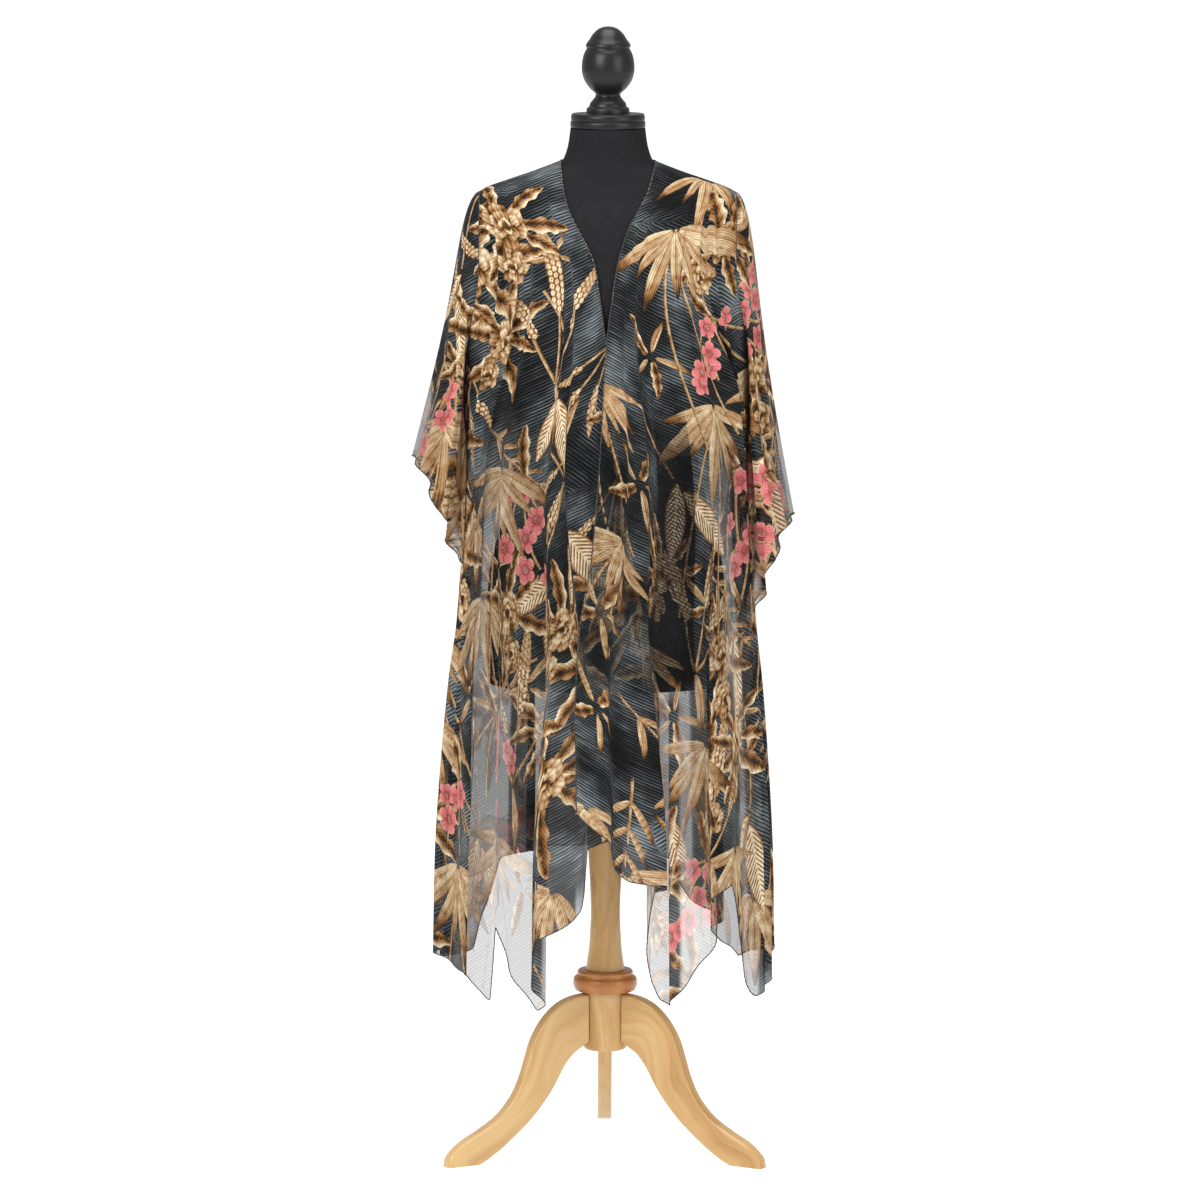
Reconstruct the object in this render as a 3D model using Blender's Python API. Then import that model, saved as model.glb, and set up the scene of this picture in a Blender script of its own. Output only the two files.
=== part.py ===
"""Open-front kimono coat of sheer printed voile, on a black limbless dress form
that stands on a turned wooden tripod.

The coat is five cut pieces: two fronts, a back and two wide sleeves. Each is a
thin wall on its own grid of columns (across the piece) and rows (shoulder to
hem). Metres, +Z up, camera side at -Y, the wearer's right side at -X.
"""
import math

import bmesh
import bpy
import numpy as np

# Driving sizes of the cloth
WALL = 0.0015
SEAM_GAP = 0.0008
ROUNDNESS = 2.3  # exponent of the coat's and the form's plan outlines
NECK_HALF_WIDTH = 0.066
ARMHOLE_X = 0.178
SHOULDER_LOW_Z = 1.330
UNDERARM_Z = 1.000
ARMHOLE_BLEND = 0.26  # height over which the side seam opens into the armhole
LAP_LIFT = 0.006  # the left front lies over the right one
LAP_TOP_Z, LAP_FULL_Z = 1.240, 1.130

# Plan outline of the hanging coat at each height
# columns: height, half width, depth of the front, depth of the back
COAT_SECTIONS = [
    (1.3980, 0.0665, 0.0585, 0.0590),
    (1.3850, 0.1000, 0.0610, 0.0620),
    (1.3730, 0.1350, 0.0655, 0.0670),
    (1.3600, 0.1700, 0.0720, 0.0740),
    (1.3460, 0.1890, 0.0800, 0.0820),
    (1.3220, 0.1990, 0.0930, 0.0950),
    (1.2800, 0.2030, 0.1090, 0.1100),
    (1.1900, 0.2040, 0.1290, 0.1240),
    (1.1000, 0.2010, 0.1380, 0.1300),
    (1.0000, 0.1970, 0.1420, 0.1340),
    (0.8800, 0.2000, 0.1460, 0.1400),
    (0.7700, 0.2060, 0.1490, 0.1450),
    (0.6800, 0.2150, 0.1520, 0.1490),
    (0.5600, 0.2210, 0.1560, 0.1540),
    (0.4000, 0.2270, 0.1600, 0.1590),
    (0.2200, 0.2300, 0.1630, 0.1630),
]

# Front edges: the neck opening, then the lap down to the hem
# columns: height, x of the wearer's right front, x of the wearer's left front
FRONT_EDGES = [
    (1.3980, -0.0660, 0.0660),
    (1.3620, -0.0610, 0.0560),
    (1.3320, -0.0520, 0.0400),
    (1.3070, -0.0390, 0.0270),
    (1.2850, -0.0270, 0.0200),
    (1.2590, -0.0170, 0.0130),
    (1.2260, -0.0120, 0.0080),
    (1.1450, 0.0000, -0.0020),
    (1.0250, 0.0130, -0.0080),
    (0.8560, 0.0360, -0.0210),
    (0.7480, 0.0580, -0.0380),
    (0.6400, 0.0730, -0.0420),
    (0.4900, 0.0740, -0.0400),
    (0.2200, 0.0740, -0.0400),
]

# Handkerchief hems, from the front edge to the side seam
# columns: x across the coat, height of the hem
HEM_RIGHT_FRONT = [
    (0.074, 0.538),
    (0.044, 0.490),
    (0.008, 0.469),
    (-0.026, 0.455),
    (-0.031, 0.375),
    (-0.046, 0.352),
    (-0.060, 0.328),
    (-0.065, 0.262),
    (-0.078, 0.238),
    (-0.095, 0.227),
    (-0.125, 0.284),
    (-0.155, 0.343),
    (-0.163, 0.239),
    (-0.195, 0.268),
    (-0.2285, 0.300),
]
HEM_LEFT_FRONT = [
    (-0.040, 0.507),
    (-0.030, 0.496),
    (0.006, 0.469),
    (0.011, 0.430),
    (0.022, 0.412),
    (0.045, 0.398),
    (0.051, 0.326),
    (0.063, 0.272),
    (0.074, 0.246),
    (0.091, 0.237),
    (0.102, 0.248),
    (0.149, 0.341),
    (0.180, 0.400),
    (0.187, 0.330),
    (0.195, 0.262),
    (0.203, 0.236),
    (0.214, 0.256),
    (0.2285, 0.340),
]
HEM_BACK = [
    (-0.2285, 0.300),
    (-0.205, 0.262),
    (-0.188, 0.268),
    (-0.168, 0.330),
    (-0.150, 0.396),
    (-0.078, 0.406),
    (0.000, 0.410),
    (0.060, 0.404),
    (0.098, 0.369),
    (0.140, 0.300),
    (0.165, 0.276),
    (0.190, 0.258),
    (0.212, 0.280),
    (0.2285, 0.340),
]

# Hanging folds: each is a ridge that leans over sideways as a soft pleat
# columns: place across the piece (0 front edge, 1 side seam), half width,
# depth, lean (positive towards the side seam), heights where it begins and is full
FOLDS_RIGHT_FRONT = [
    (0.274, 0.024, 0.016, 0.035, 1.100, 0.420),
    (0.420, 0.034, 0.012, 0.006, 1.050, 0.400),
    (0.545, 0.028, 0.014, -0.012, 1.180, 0.450),
    (0.690, 0.022, 0.010, -0.016, 1.340, 1.120),
    (0.740, 0.026, 0.018, -0.038, 1.050, 0.450),
    (0.880, 0.030, 0.016, 0.012, 1.000, 0.420),
]
FOLDS_LEFT_FRONT = [
    (0.150, 0.024, 0.016, 0.042, 1.150, 0.420),
    (0.310, 0.020, 0.010, -0.014, 0.760, 0.420),
    (0.430, 0.034, 0.012, 0.008, 1.020, 0.400),
    (0.560, 0.025, 0.018, -0.042, 1.200, 0.480),
    (0.715, 0.022, 0.010, 0.016, 1.330, 1.080),
    (0.770, 0.030, 0.014, 0.018, 0.960, 0.420),
    (0.890, 0.030, 0.016, -0.012, 0.980, 0.420),
]
# Back folds are placed from -1 (right side seam) to 1 (left side seam)
FOLDS_BACK = [
    (-0.870, 0.034, 0.016, 0.012, 1.000, 0.420),
    (-0.700, 0.030, 0.018, -0.026, 1.220, 0.480),
    (-0.520, 0.036, 0.014, 0.008, 1.140, 0.420),
    (-0.350, 0.028, 0.018, 0.034, 1.190, 0.450),
    (-0.160, 0.036, 0.013, -0.008, 1.060, 0.420),
    (0.020, 0.028, 0.016, -0.028, 1.230, 0.460),
    (0.190, 0.036, 0.013, 0.010, 1.080, 0.420),
    (0.370, 0.028, 0.018, 0.030, 1.240, 0.460),
    (0.540, 0.036, 0.014, -0.010, 1.110, 0.420),
    (0.710, 0.030, 0.018, 0.026, 1.200, 0.470),
    (0.870, 0.034, 0.015, -0.012, 0.990, 0.420),
]
FOLD_SAMPLES = (-1.7, -0.85, 0.0, 0.85, 1.7)  # columns put on each fold
FOLD_FREE_EDGE = 0.05  # folds die away this near a seam or a front edge

# Sleeves: the upper edge hangs from the shoulder, the cuff is a loose loop
# columns: x and height of the cuff's upper corner, x and height of its lower
# corner, half depth of the loop
CUFFS = {
    "sleeve_right": (-0.2720, 0.986, -0.2150, 0.838, 0.060),
    "sleeve_left": (0.2620, 0.906, 0.2160, 0.768, 0.062),
}
SLEEVE_BULGE = 0.055
CUFF_RIPPLE = 0.0060
CUFF_RIPPLES = 4
CUFF_FRONT_RECESS = 0.020
SLEEVE_START_LOW, SLEEVE_START_TOP = 0.0026, 0.0010  # gap from the armhole

BODY_ROWS = 15
ROW_SPREAD = 2.2  # rows lie closer together over the shoulder
BODY_STEP = 0.045
COLUMN_MERGE = 0.007
SLEEVE_COLUMNS = 13
SLEEVE_ROWS = 9

# Dress form
FORM_SECTIONS = [
    (0.6680, 0.1640, 0.1160, 0.1160),
    (0.7400, 0.1690, 0.1200, 0.1230),
    (0.8200, 0.1640, 0.1160, 0.1220),
    (0.9200, 0.1400, 0.1030, 0.1020),
    (1.0100, 0.1250, 0.0950, 0.0930),
    (1.1000, 0.1380, 0.1080, 0.1010),
    (1.1900, 0.1570, 0.1220, 0.1120),
    (1.2700, 0.1680, 0.1070, 0.1080),
    (1.3180, 0.1720, 0.0910, 0.0925),
    (1.3400, 0.1715, 0.0795, 0.0810),
    (1.3520, 0.1670, 0.0725, 0.0740),
    (1.3600, 0.1600, 0.0685, 0.0705),
    (1.3708, 0.1340, 0.0630, 0.0645),
    (1.3828, 0.0990, 0.0585, 0.0595),
    (1.3935, 0.0670, 0.0560, 0.0565),
    (1.4050, 0.0600, 0.0540, 0.0540),
    (1.4220, 0.0550, 0.0530, 0.0530),
    (1.4436, 0.0520, 0.0520, 0.0520),
]
FORM_SIDES = 32

# Turned pieces, as profiles of radius and height from the bottom to the top
NECK_CAP = [(0.0500, 1.4439), (0.0515, 1.4450), (0.0520, 1.4520), (0.0505, 1.4550),
            (0.0510, 1.4610), (0.0495, 1.4640), (0.0360, 1.4650)]
FINIAL = [(0.0300, 1.4653), (0.0295, 1.4710), (0.0262, 1.4740), (0.0245, 1.4800),
          (0.0195, 1.4850), (0.0170, 1.4890), (0.0190, 1.4930), (0.0260, 1.4995),
          (0.0325, 1.5090), (0.0358, 1.5190), (0.0366, 1.5280), (0.0358, 1.5380),
          (0.0335, 1.5470), (0.0298, 1.5535), (0.0298, 1.5550), (0.0312, 1.5570),
          (0.0300, 1.5610), (0.0262, 1.5660), (0.0215, 1.5740), (0.0140, 1.5810),
          (0.0060, 1.5850)]
COLUMN = [(0.0275, 0.2585), (0.0262, 0.2680), (0.0232, 0.2900), (0.0214, 0.3200),
          (0.0208, 0.3450), (0.0222, 0.3850), (0.0248, 0.4300), (0.0262, 0.4800),
          (0.0245, 0.5400), (0.0205, 0.6000), (0.0190, 0.6677)]
COLLAR = [(0.0360, 0.2283), (0.0420, 0.2300), (0.0446, 0.2360), (0.0452, 0.2420),
          (0.0430, 0.2480), (0.0395, 0.2505), (0.0395, 0.2530), (0.0380, 0.2565),
          (0.0330, 0.2582)]
HUB = [(0.0225, 0.1440), (0.0290, 0.1455), (0.0312, 0.1490), (0.0318, 0.1560),
       (0.0318, 0.2280)]
TURNED_SIDES = 24

# One leg in its own plane, as pairs of points down its upper and lower edges
# columns: reach and height of the upper edge, reach and height of the lower edge
LEG = [
    (0.0321, 0.2262, 0.0321, 0.1560),
    (0.0560, 0.2230, 0.0400, 0.1520),
    (0.0800, 0.2130, 0.0560, 0.1420),
    (0.1020, 0.1930, 0.0700, 0.1260),
    (0.1180, 0.1680, 0.0810, 0.1080),
    (0.1280, 0.1400, 0.0920, 0.0910),
    (0.1370, 0.1140, 0.1060, 0.0740),
    (0.1510, 0.0880, 0.1240, 0.0550),
    (0.1740, 0.0640, 0.1460, 0.0370),
    (0.2040, 0.0460, 0.1700, 0.0190),
    (0.2320, 0.0320, 0.1900, 0.0070),
    (0.2520, 0.0150, 0.2000, 0.0020),
    (0.2570, 0.0000, 0.2050, 0.0000),
]
LEG_THICKNESS = 0.0200
LEG_EDGE = 0.0035
LEG_BEARINGS = {"leg_left": 210.0, "leg_right": 330.0, "leg_back": 90.0}

COLOURS = {
    "front_right": (0.165, 0.185, 0.215),
    "front_left": (0.150, 0.172, 0.205),
    "back": (0.175, 0.195, 0.225),
    "sleeve_right": (0.190, 0.205, 0.230),
    "sleeve_left": (0.180, 0.200, 0.228),
    "torso": (0.018, 0.018, 0.019),
    "neck_cap": (0.022, 0.022, 0.023),
    "finial": (0.020, 0.020, 0.021),
    "column": (0.690, 0.470, 0.250),
    "collar": (0.560, 0.310, 0.120),
    "hub": (0.660, 0.440, 0.230),
    "leg_left": (0.720, 0.490, 0.260),
    "leg_right": (0.700, 0.480, 0.255),
    "leg_back": (0.640, 0.420, 0.215),
}
ROUGHNESS = {"cloth": 0.62, "black": 0.55, "wood": 0.34}


def table_value(table, column, height):
    """A column of a table at any height, by a monotone cubic through its rows."""
    rows = sorted(table, key=lambda row: row[0])
    z = np.array([row[0] for row in rows])
    v = np.array([row[column] for row in rows])
    slope = np.diff(v) / np.diff(z)
    tangent = np.zeros(len(z))
    same_sign = slope[:-1] * slope[1:] > 0.0
    harmonic = 2.0 * slope[:-1] * slope[1:] / np.where(same_sign, slope[:-1] + slope[1:], 1.0)
    tangent[1:-1] = np.where(same_sign, harmonic, 0.0)
    tangent[0], tangent[-1] = slope[0], slope[-1]
    h = np.clip(np.asarray(height, dtype=float), z[0], z[-1])
    i = np.clip(np.searchsorted(z, h) - 1, 0, len(z) - 2)
    step = z[i + 1] - z[i]
    t = (h - z[i]) / step
    return (
        v[i] * (1 + 2 * t) * (1 - t) ** 2
        + tangent[i] * step * t * (1 - t) ** 2
        + v[i + 1] * t * t * (3 - 2 * t)
        + tangent[i + 1] * step * t * t * (t - 1)
    )


def smooth_step(low, high, value):
    t = np.clip((value - low) / (high - low), 0.0, 1.0)
    return t * t * (3.0 - 2.0 * t)


def angle_at(x, half_width):
    """Signed bearing, 0 at the middle and a quarter turn at the side."""
    share = np.clip(np.abs(x) / half_width, 0.0, 1.0) ** (ROUNDNESS / 2.0)
    return np.sign(x) * np.arcsin(share)


def turn_by(bearing, height, along, depth_column):
    """The bearing after a move along the plan outline."""
    width = table_value(COAT_SECTIONS, 1, height)
    depth = table_value(COAT_SECTIONS, depth_column, height)
    return bearing + along / np.hypot(width * np.cos(bearing), depth * np.sin(bearing))


def outline_point(bearing, height, lift, depth_column, facing):
    """A point of the coat's plan outline, moved out by lift."""
    width = table_value(COAT_SECTIONS, 1, height)
    depth = table_value(COAT_SECTIONS, depth_column, height)
    power = 2.0 / ROUNDNESS
    x = width * np.sign(np.sin(bearing)) * np.abs(np.sin(bearing)) ** power
    y = depth * np.abs(np.cos(bearing)) ** power
    out_x = np.sin(bearing) / width
    out_y = np.cos(bearing) / depth
    length = np.hypot(out_x, out_y)
    return x + lift * out_x / length, facing * (y + lift * out_y / length)


def armhole_bearing(height):
    """Bearing of a piece's side edge: the side seam, then the armhole."""
    width = table_value(COAT_SECTIONS, 1, height)
    open_share = smooth_step(UNDERARM_Z, UNDERARM_Z + ARMHOLE_BLEND, height)
    return math.pi / 2 + open_share * (angle_at(ARMHOLE_X, width) - math.pi / 2)


def side_reach(height):
    """How far out a piece's side edge is; over the shoulder it is the armhole's."""
    width = table_value(COAT_SECTIONS, 1, height)
    reach = width * np.sin(armhole_bearing(height)) ** (2.0 / ROUNDNESS)
    return np.where(height > SHOULDER_LOW_Z, ARMHOLE_X, reach)


def shoulder_height(x):
    """Height of the shoulder seam over a place across the coat."""
    heights = np.linspace(COAT_SECTIONS[0][0], SHOULDER_LOW_Z, 600)
    widths = table_value(COAT_SECTIONS, 1, heights)
    return np.interp(np.maximum(np.abs(x), NECK_HALF_WIDTH), widths, heights)


def fold_lift(folds, place, height):
    """Ridges of the hanging folds: how far out, and how far along the piece."""
    out = np.zeros_like(place)
    along = np.zeros_like(place)
    for middle, half_width, depth, lean, start, full in folds:
        grown = smooth_step(start, full, height) ** 1.2
        ridge = np.exp(-(((place - middle) / half_width) ** 2)) * grown
        out += depth * ridge
        along += lean * ridge
    free = smooth_step(1.0, 1.0 - FOLD_FREE_EDGE, np.abs(place))
    return out * free, along * free


def columns_between(places, folds, step):
    """Columns at the given places and on the folds, and between them where far apart."""
    wanted = list(places)
    for middle, half_width, *_ in folds:
        wanted.extend(middle + half_width * t for t in FOLD_SAMPLES)
    kept = [places[0]]
    for place in sorted(wanted):
        fixed = any(abs(place - p) < 1e-9 for p in places)
        if place - kept[-1] < COLUMN_MERGE and not fixed or place <= kept[-1]:
            continue
        kept.append(place)
    result = [kept[0]]
    for a, b in zip(kept[:-1], kept[1:]):
        parts = max(1, math.ceil((b - a) / step))
        result.extend(a + (b - a) * k / parts for k in range(1, parts + 1))
    return np.array(result)


def front_grid(side, edge_column, hem, folds, over):
    """Rows of points of one front, from the shoulder seam to the hem."""
    hem_x = np.array([row[0] for row in hem]) * side
    hem_z = np.array([row[1] for row in hem])
    width = table_value(COAT_SECTIONS, 1, hem_z)
    edge = angle_at(side * table_value(FRONT_EDGES, edge_column, hem_z), width)
    hem_place = (angle_at(hem_x, width) - edge) / (math.pi / 2 - edge)
    hem_place = np.maximum.accumulate(np.clip(hem_place, 0.0, 1.0))
    hem_place[0], hem_place[-1] = 0.0, 1.0
    hem_place += np.arange(len(hem_place)) * 1e-6
    hem_place /= hem_place[-1]
    place = columns_between(hem_place, folds, BODY_STEP)
    bottom = np.interp(place, hem_place, hem_z)
    top_x = NECK_HALF_WIDTH + (ARMHOLE_X - NECK_HALF_WIDTH) * place
    top = shoulder_height(top_x)
    rows = []
    for row in range(BODY_ROWS):
        fall = (row / (BODY_ROWS - 1)) ** ROW_SPREAD
        z = top - (top - bottom) * fall
        width = table_value(COAT_SECTIONS, 1, z)
        edge_x = side * table_value(FRONT_EDGES, edge_column, z)
        side_bearing = armhole_bearing(z)
        side_x = side_reach(z)
        upper = angle_at(edge_x + (side_x - edge_x) * place, width)
        edge = angle_at(edge_x, width)
        lower = edge + (side_bearing - edge) * place
        blend = smooth_step(UNDERARM_Z - 0.1, UNDERARM_Z + 0.3, z)
        out, along = fold_lift(folds, place, z)
        bearing = turn_by(lower + (upper - lower) * blend, z, along, 2)
        bearing = np.minimum(bearing, side_bearing) if row else np.full_like(z, math.pi / 2)
        lap = 1.0 - smooth_step(0.045, 0.110, np.abs(edge_x + (side_x - edge_x) * place))
        lap = lap * (1.0 - smooth_step(LAP_FULL_Z, LAP_TOP_Z, z))
        out = out + (LAP_LIFT * lap if over else -0.001 * lap)
        x, y = outline_point(bearing, z, out, 2, -1.0)
        y = np.minimum(y, -SEAM_GAP / 2)
        rows.append(np.column_stack([side * x, y, z]))
    return np.array(rows)


def back_grid():
    """Rows of points of the back, from its neck and shoulders to the hem."""
    hem_x = np.array([row[0] for row in HEM_BACK])
    hem_z = np.array([row[1] for row in HEM_BACK])
    hem_place = angle_at(hem_x, table_value(COAT_SECTIONS, 1, hem_z)) / (math.pi / 2)
    hem_place[0], hem_place[-1] = -1.0, 1.0
    place = columns_between(hem_place, FOLDS_BACK, BODY_STEP * 1.35)
    bottom = np.interp(place, hem_place, hem_z)
    top_x = np.abs(place) * ARMHOLE_X
    neck_dip = 0.008 * (1.0 - smooth_step(0.0, NECK_HALF_WIDTH, top_x))
    top = shoulder_height(top_x) - neck_dip
    rows = []
    for row in range(BODY_ROWS):
        fall = (row / (BODY_ROWS - 1)) ** ROW_SPREAD
        z = top - (top - bottom) * fall
        width = table_value(COAT_SECTIONS, 1, z)
        side_bearing = armhole_bearing(z)
        side_x = side_reach(z)
        upper = angle_at(side_x * place, width)
        lower = side_bearing * place
        blend = smooth_step(UNDERARM_Z - 0.1, UNDERARM_Z + 0.3, z)
        out, along = fold_lift(FOLDS_BACK, place, z)
        bearing = turn_by(lower + (upper - lower) * blend, z, along, 3)
        bearing = np.clip(bearing, -side_bearing, side_bearing)
        if row == 0:
            on_shoulder = top_x >= NECK_HALF_WIDTH
            bearing = np.where(on_shoulder, np.sign(place) * math.pi / 2, bearing)
        x, y = outline_point(bearing, z, out, 3, 1.0)
        y = np.maximum(y, SEAM_GAP / 2)
        rows.append(np.column_stack([x, y, z]))
    return np.array(rows)


def sleeve_grid(side, cuff):
    """Rings of points of one sleeve, from the armhole to the cuff."""
    top_x, top_z, low_x, low_z, half_depth = cuff
    seam_top = float(shoulder_height(ARMHOLE_X))
    ring, loop = [], []
    around = 2 * SLEEVE_COLUMNS
    for k in range(around):
        up = k / SLEEVE_COLUMNS if k <= SLEEVE_COLUMNS else (around - k) / SLEEVE_COLUMNS
        facing = -1.0 if k <= SLEEVE_COLUMNS else 1.0
        z = UNDERARM_Z + (seam_top - UNDERARM_Z) * (1.0 - (1.0 - up) ** 1.8)
        depth_column = 2 if facing < 0 else 3
        x, y = outline_point(armhole_bearing(z), z, 0.0, depth_column, facing)
        start = SLEEVE_START_LOW + (SLEEVE_START_TOP - SLEEVE_START_LOW) * up
        ring.append((x + start, y, z))
        rise = (1.0 - math.cos(math.pi * up)) / 2.0
        ripple = CUFF_RIPPLE * math.sin(2 * math.pi * CUFF_RIPPLES * up + (1.0 if facing > 0 else 0.0))
        ripple *= math.sin(math.pi * up)
        recess = CUFF_FRONT_RECESS * math.sin(math.pi * up) if facing < 0 else 0.0
        loop.append((
            abs(low_x) + (abs(top_x) - abs(low_x)) * rise + ripple - recess * rise,
            facing * (half_depth * math.sin(math.pi * up) ** 0.8 + ripple),
            low_z + (top_z - low_z) * rise,
        ))
    ring, loop = np.array(ring), np.array(loop)
    rows = []
    for row in range(SLEEVE_ROWS):
        w = (row / (SLEEVE_ROWS - 1)) ** 1.25
        points = ring + (loop - ring) * w
        height_share = (ring[:, 2] - UNDERARM_Z) / (seam_top - UNDERARM_Z)
        points[:, 0] += SLEEVE_BULGE * math.sqrt(w) * (1.0 - w) ** 4 * height_share
        rows.append(points * np.array([side, 1.0, 1.0]))
    return np.array(rows)


def material(name, kind):
    made = bpy.data.materials.new(name + "_material")
    made.use_nodes = True
    shader = made.node_tree.nodes["Principled BSDF"]
    shader.inputs["Base Color"].default_value = (*COLOURS[name], 1.0)
    shader.inputs["Roughness"].default_value = ROUGHNESS[kind]
    shader.inputs["Metallic"].default_value = 0.0
    return made


def add_object(name, kind, points, faces, sharp_angle):
    """One closed body with its faces pointing out."""
    mesh = bpy.data.meshes.new(name)
    mesh.from_pydata([tuple(p) for p in points], [], faces)
    work = bmesh.new()
    work.from_mesh(mesh)
    bmesh.ops.recalc_face_normals(work, faces=work.faces)
    bmesh.ops.triangulate(work, faces=work.faces)
    work.to_mesh(mesh)
    work.free()
    mesh.shade_smooth()
    mesh.set_sharp_from_angle(angle=math.radians(sharp_angle))
    mesh.materials.append(material(name, kind))
    piece = bpy.data.objects.new(name, mesh)
    bpy.context.scene.collection.objects.link(piece)
    return piece


def cloth_wall(name, grid, ring):
    """A wall of cloth on a grid; a ring's columns close on themselves."""
    rows, columns = grid.shape[:2]
    down = np.gradient(grid, axis=0)
    if ring:
        across = (np.roll(grid, -1, axis=1) - np.roll(grid, 1, axis=1)) / 2
    else:
        across = np.gradient(grid, axis=1)
    normal = np.cross(across, down)
    normal /= np.maximum(np.linalg.norm(normal, axis=2, keepdims=True), 1e-12)
    outer = (grid + normal * WALL / 2).reshape(-1, 3)
    inner = (grid - normal * WALL / 2).reshape(-1, 3)
    count = rows * columns
    faces = []
    last = columns if ring else columns - 1
    for r in range(rows - 1):
        for c in range(last):
            a, b = r * columns + c, r * columns + (c + 1) % columns
            d, e = a + columns, b + columns
            faces.append((a, b, e, d))
            faces.append((count + a, count + d, count + e, count + b))
    for r, flip in ((0, False), (rows - 1, True)):
        for c in range(last):
            a, b = r * columns + c, r * columns + (c + 1) % columns
            face = (a, count + a, count + b, b)
            faces.append(face[::-1] if flip else face)
    if not ring:
        for c, flip in ((0, True), (columns - 1, False)):
            for r in range(rows - 1):
                a, b = r * columns + c, (r + 1) * columns + c
                face = (a, count + a, count + b, b)
                faces.append(face[::-1] if flip else face)
    return add_object(name, "cloth", np.vstack([outer, inner]), faces, 50)


def stacked_rings(name, kind, rings, sharp_angle=40):
    """A solid through closed rings of points, from the bottom to the top."""
    sides = len(rings[0])
    points = [p for ring in rings for p in ring]
    faces = [tuple(reversed(range(sides)))]
    for r in range(len(rings) - 1):
        for c in range(sides):
            a, b = r * sides + c, r * sides + (c + 1) % sides
            faces.append((a, b, b + sides, a + sides))
    faces.append(tuple(range((len(rings) - 1) * sides, len(rings) * sides)))
    return add_object(name, kind, points, faces, sharp_angle)


def turned(name, kind, profile, sharp_angle=40):
    """A piece turned on a lathe about the upright axis."""
    rings = []
    for radius, height in profile:
        angles = [2 * math.pi * k / TURNED_SIDES for k in range(TURNED_SIDES)]
        rings.append([(radius * math.cos(a), radius * math.sin(a), height) for a in angles])
    return stacked_rings(name, kind, rings, sharp_angle)


def dress_form():
    rings = []
    power = 2.0 / ROUNDNESS
    for height, width, front, back in FORM_SECTIONS:
        ring = []
        for k in range(FORM_SIDES):
            a = 2 * math.pi * k / FORM_SIDES
            x = width * math.copysign(abs(math.cos(a)) ** power, math.cos(a))
            depth = back if math.sin(a) > 0 else front
            y = depth * math.copysign(abs(math.sin(a)) ** power, math.sin(a))
            ring.append((x, y, height))
        rings.append(ring)
    stacked_rings("torso", "black", rings, 60)


def leg(name, bearing):
    """A flat-sided curved leg with softened edges, ending in a flat foot."""
    half = LEG_THICKNESS / 2
    turn = math.radians(bearing)
    rings = []
    for upper_reach, upper_z, lower_reach, lower_z in LEG:
        upper, lower = np.array((upper_reach, upper_z)), np.array((lower_reach, lower_z))
        drop = (lower - upper) / np.linalg.norm(lower - upper) * LEG_EDGE
        section = [(upper, half - LEG_EDGE), (upper + drop, half), (lower - drop, half),
                   (lower, half - LEG_EDGE), (lower, LEG_EDGE - half), (lower - drop, -half),
                   (upper + drop, -half), (upper, LEG_EDGE - half)]
        rings.append([
            (p[0] * math.cos(turn) - y * math.sin(turn), p[0] * math.sin(turn) + y * math.cos(turn), p[1])
            for p, y in section
        ])
    stacked_rings(name, "wood", rings, 50)


def stand_on_origin():
    """Puts the middle of the whole part's plan over the origin."""
    pieces = list(bpy.context.scene.objects)
    points = np.array([v.co[:] for piece in pieces for v in piece.data.vertices])
    middle = (points.min(axis=0) + points.max(axis=0)) / 2
    for piece in pieces:
        piece.location = (-middle[0], -middle[1], 0.0)


def main():
    for item in list(bpy.data.objects):
        bpy.data.objects.remove(item)
    dress_form()
    turned("neck_cap", "black", NECK_CAP)
    turned("finial", "black", FINIAL)
    turned("column", "wood", COLUMN)
    turned("collar", "wood", COLLAR)
    turned("hub", "wood", HUB)
    for name, bearing in LEG_BEARINGS.items():
        leg(name, bearing)
    cloth_wall("front_right", front_grid(-1.0, 1, HEM_RIGHT_FRONT, FOLDS_RIGHT_FRONT, False), False)
    cloth_wall("front_left", front_grid(1.0, 2, HEM_LEFT_FRONT, FOLDS_LEFT_FRONT, True), False)
    cloth_wall("back", back_grid(), False)
    for name, cuff in CUFFS.items():
        cloth_wall(name, sleeve_grid(math.copysign(1.0, cuff[0]), cuff), True)
    stand_on_origin()


main()
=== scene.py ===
import math
import random

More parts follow.
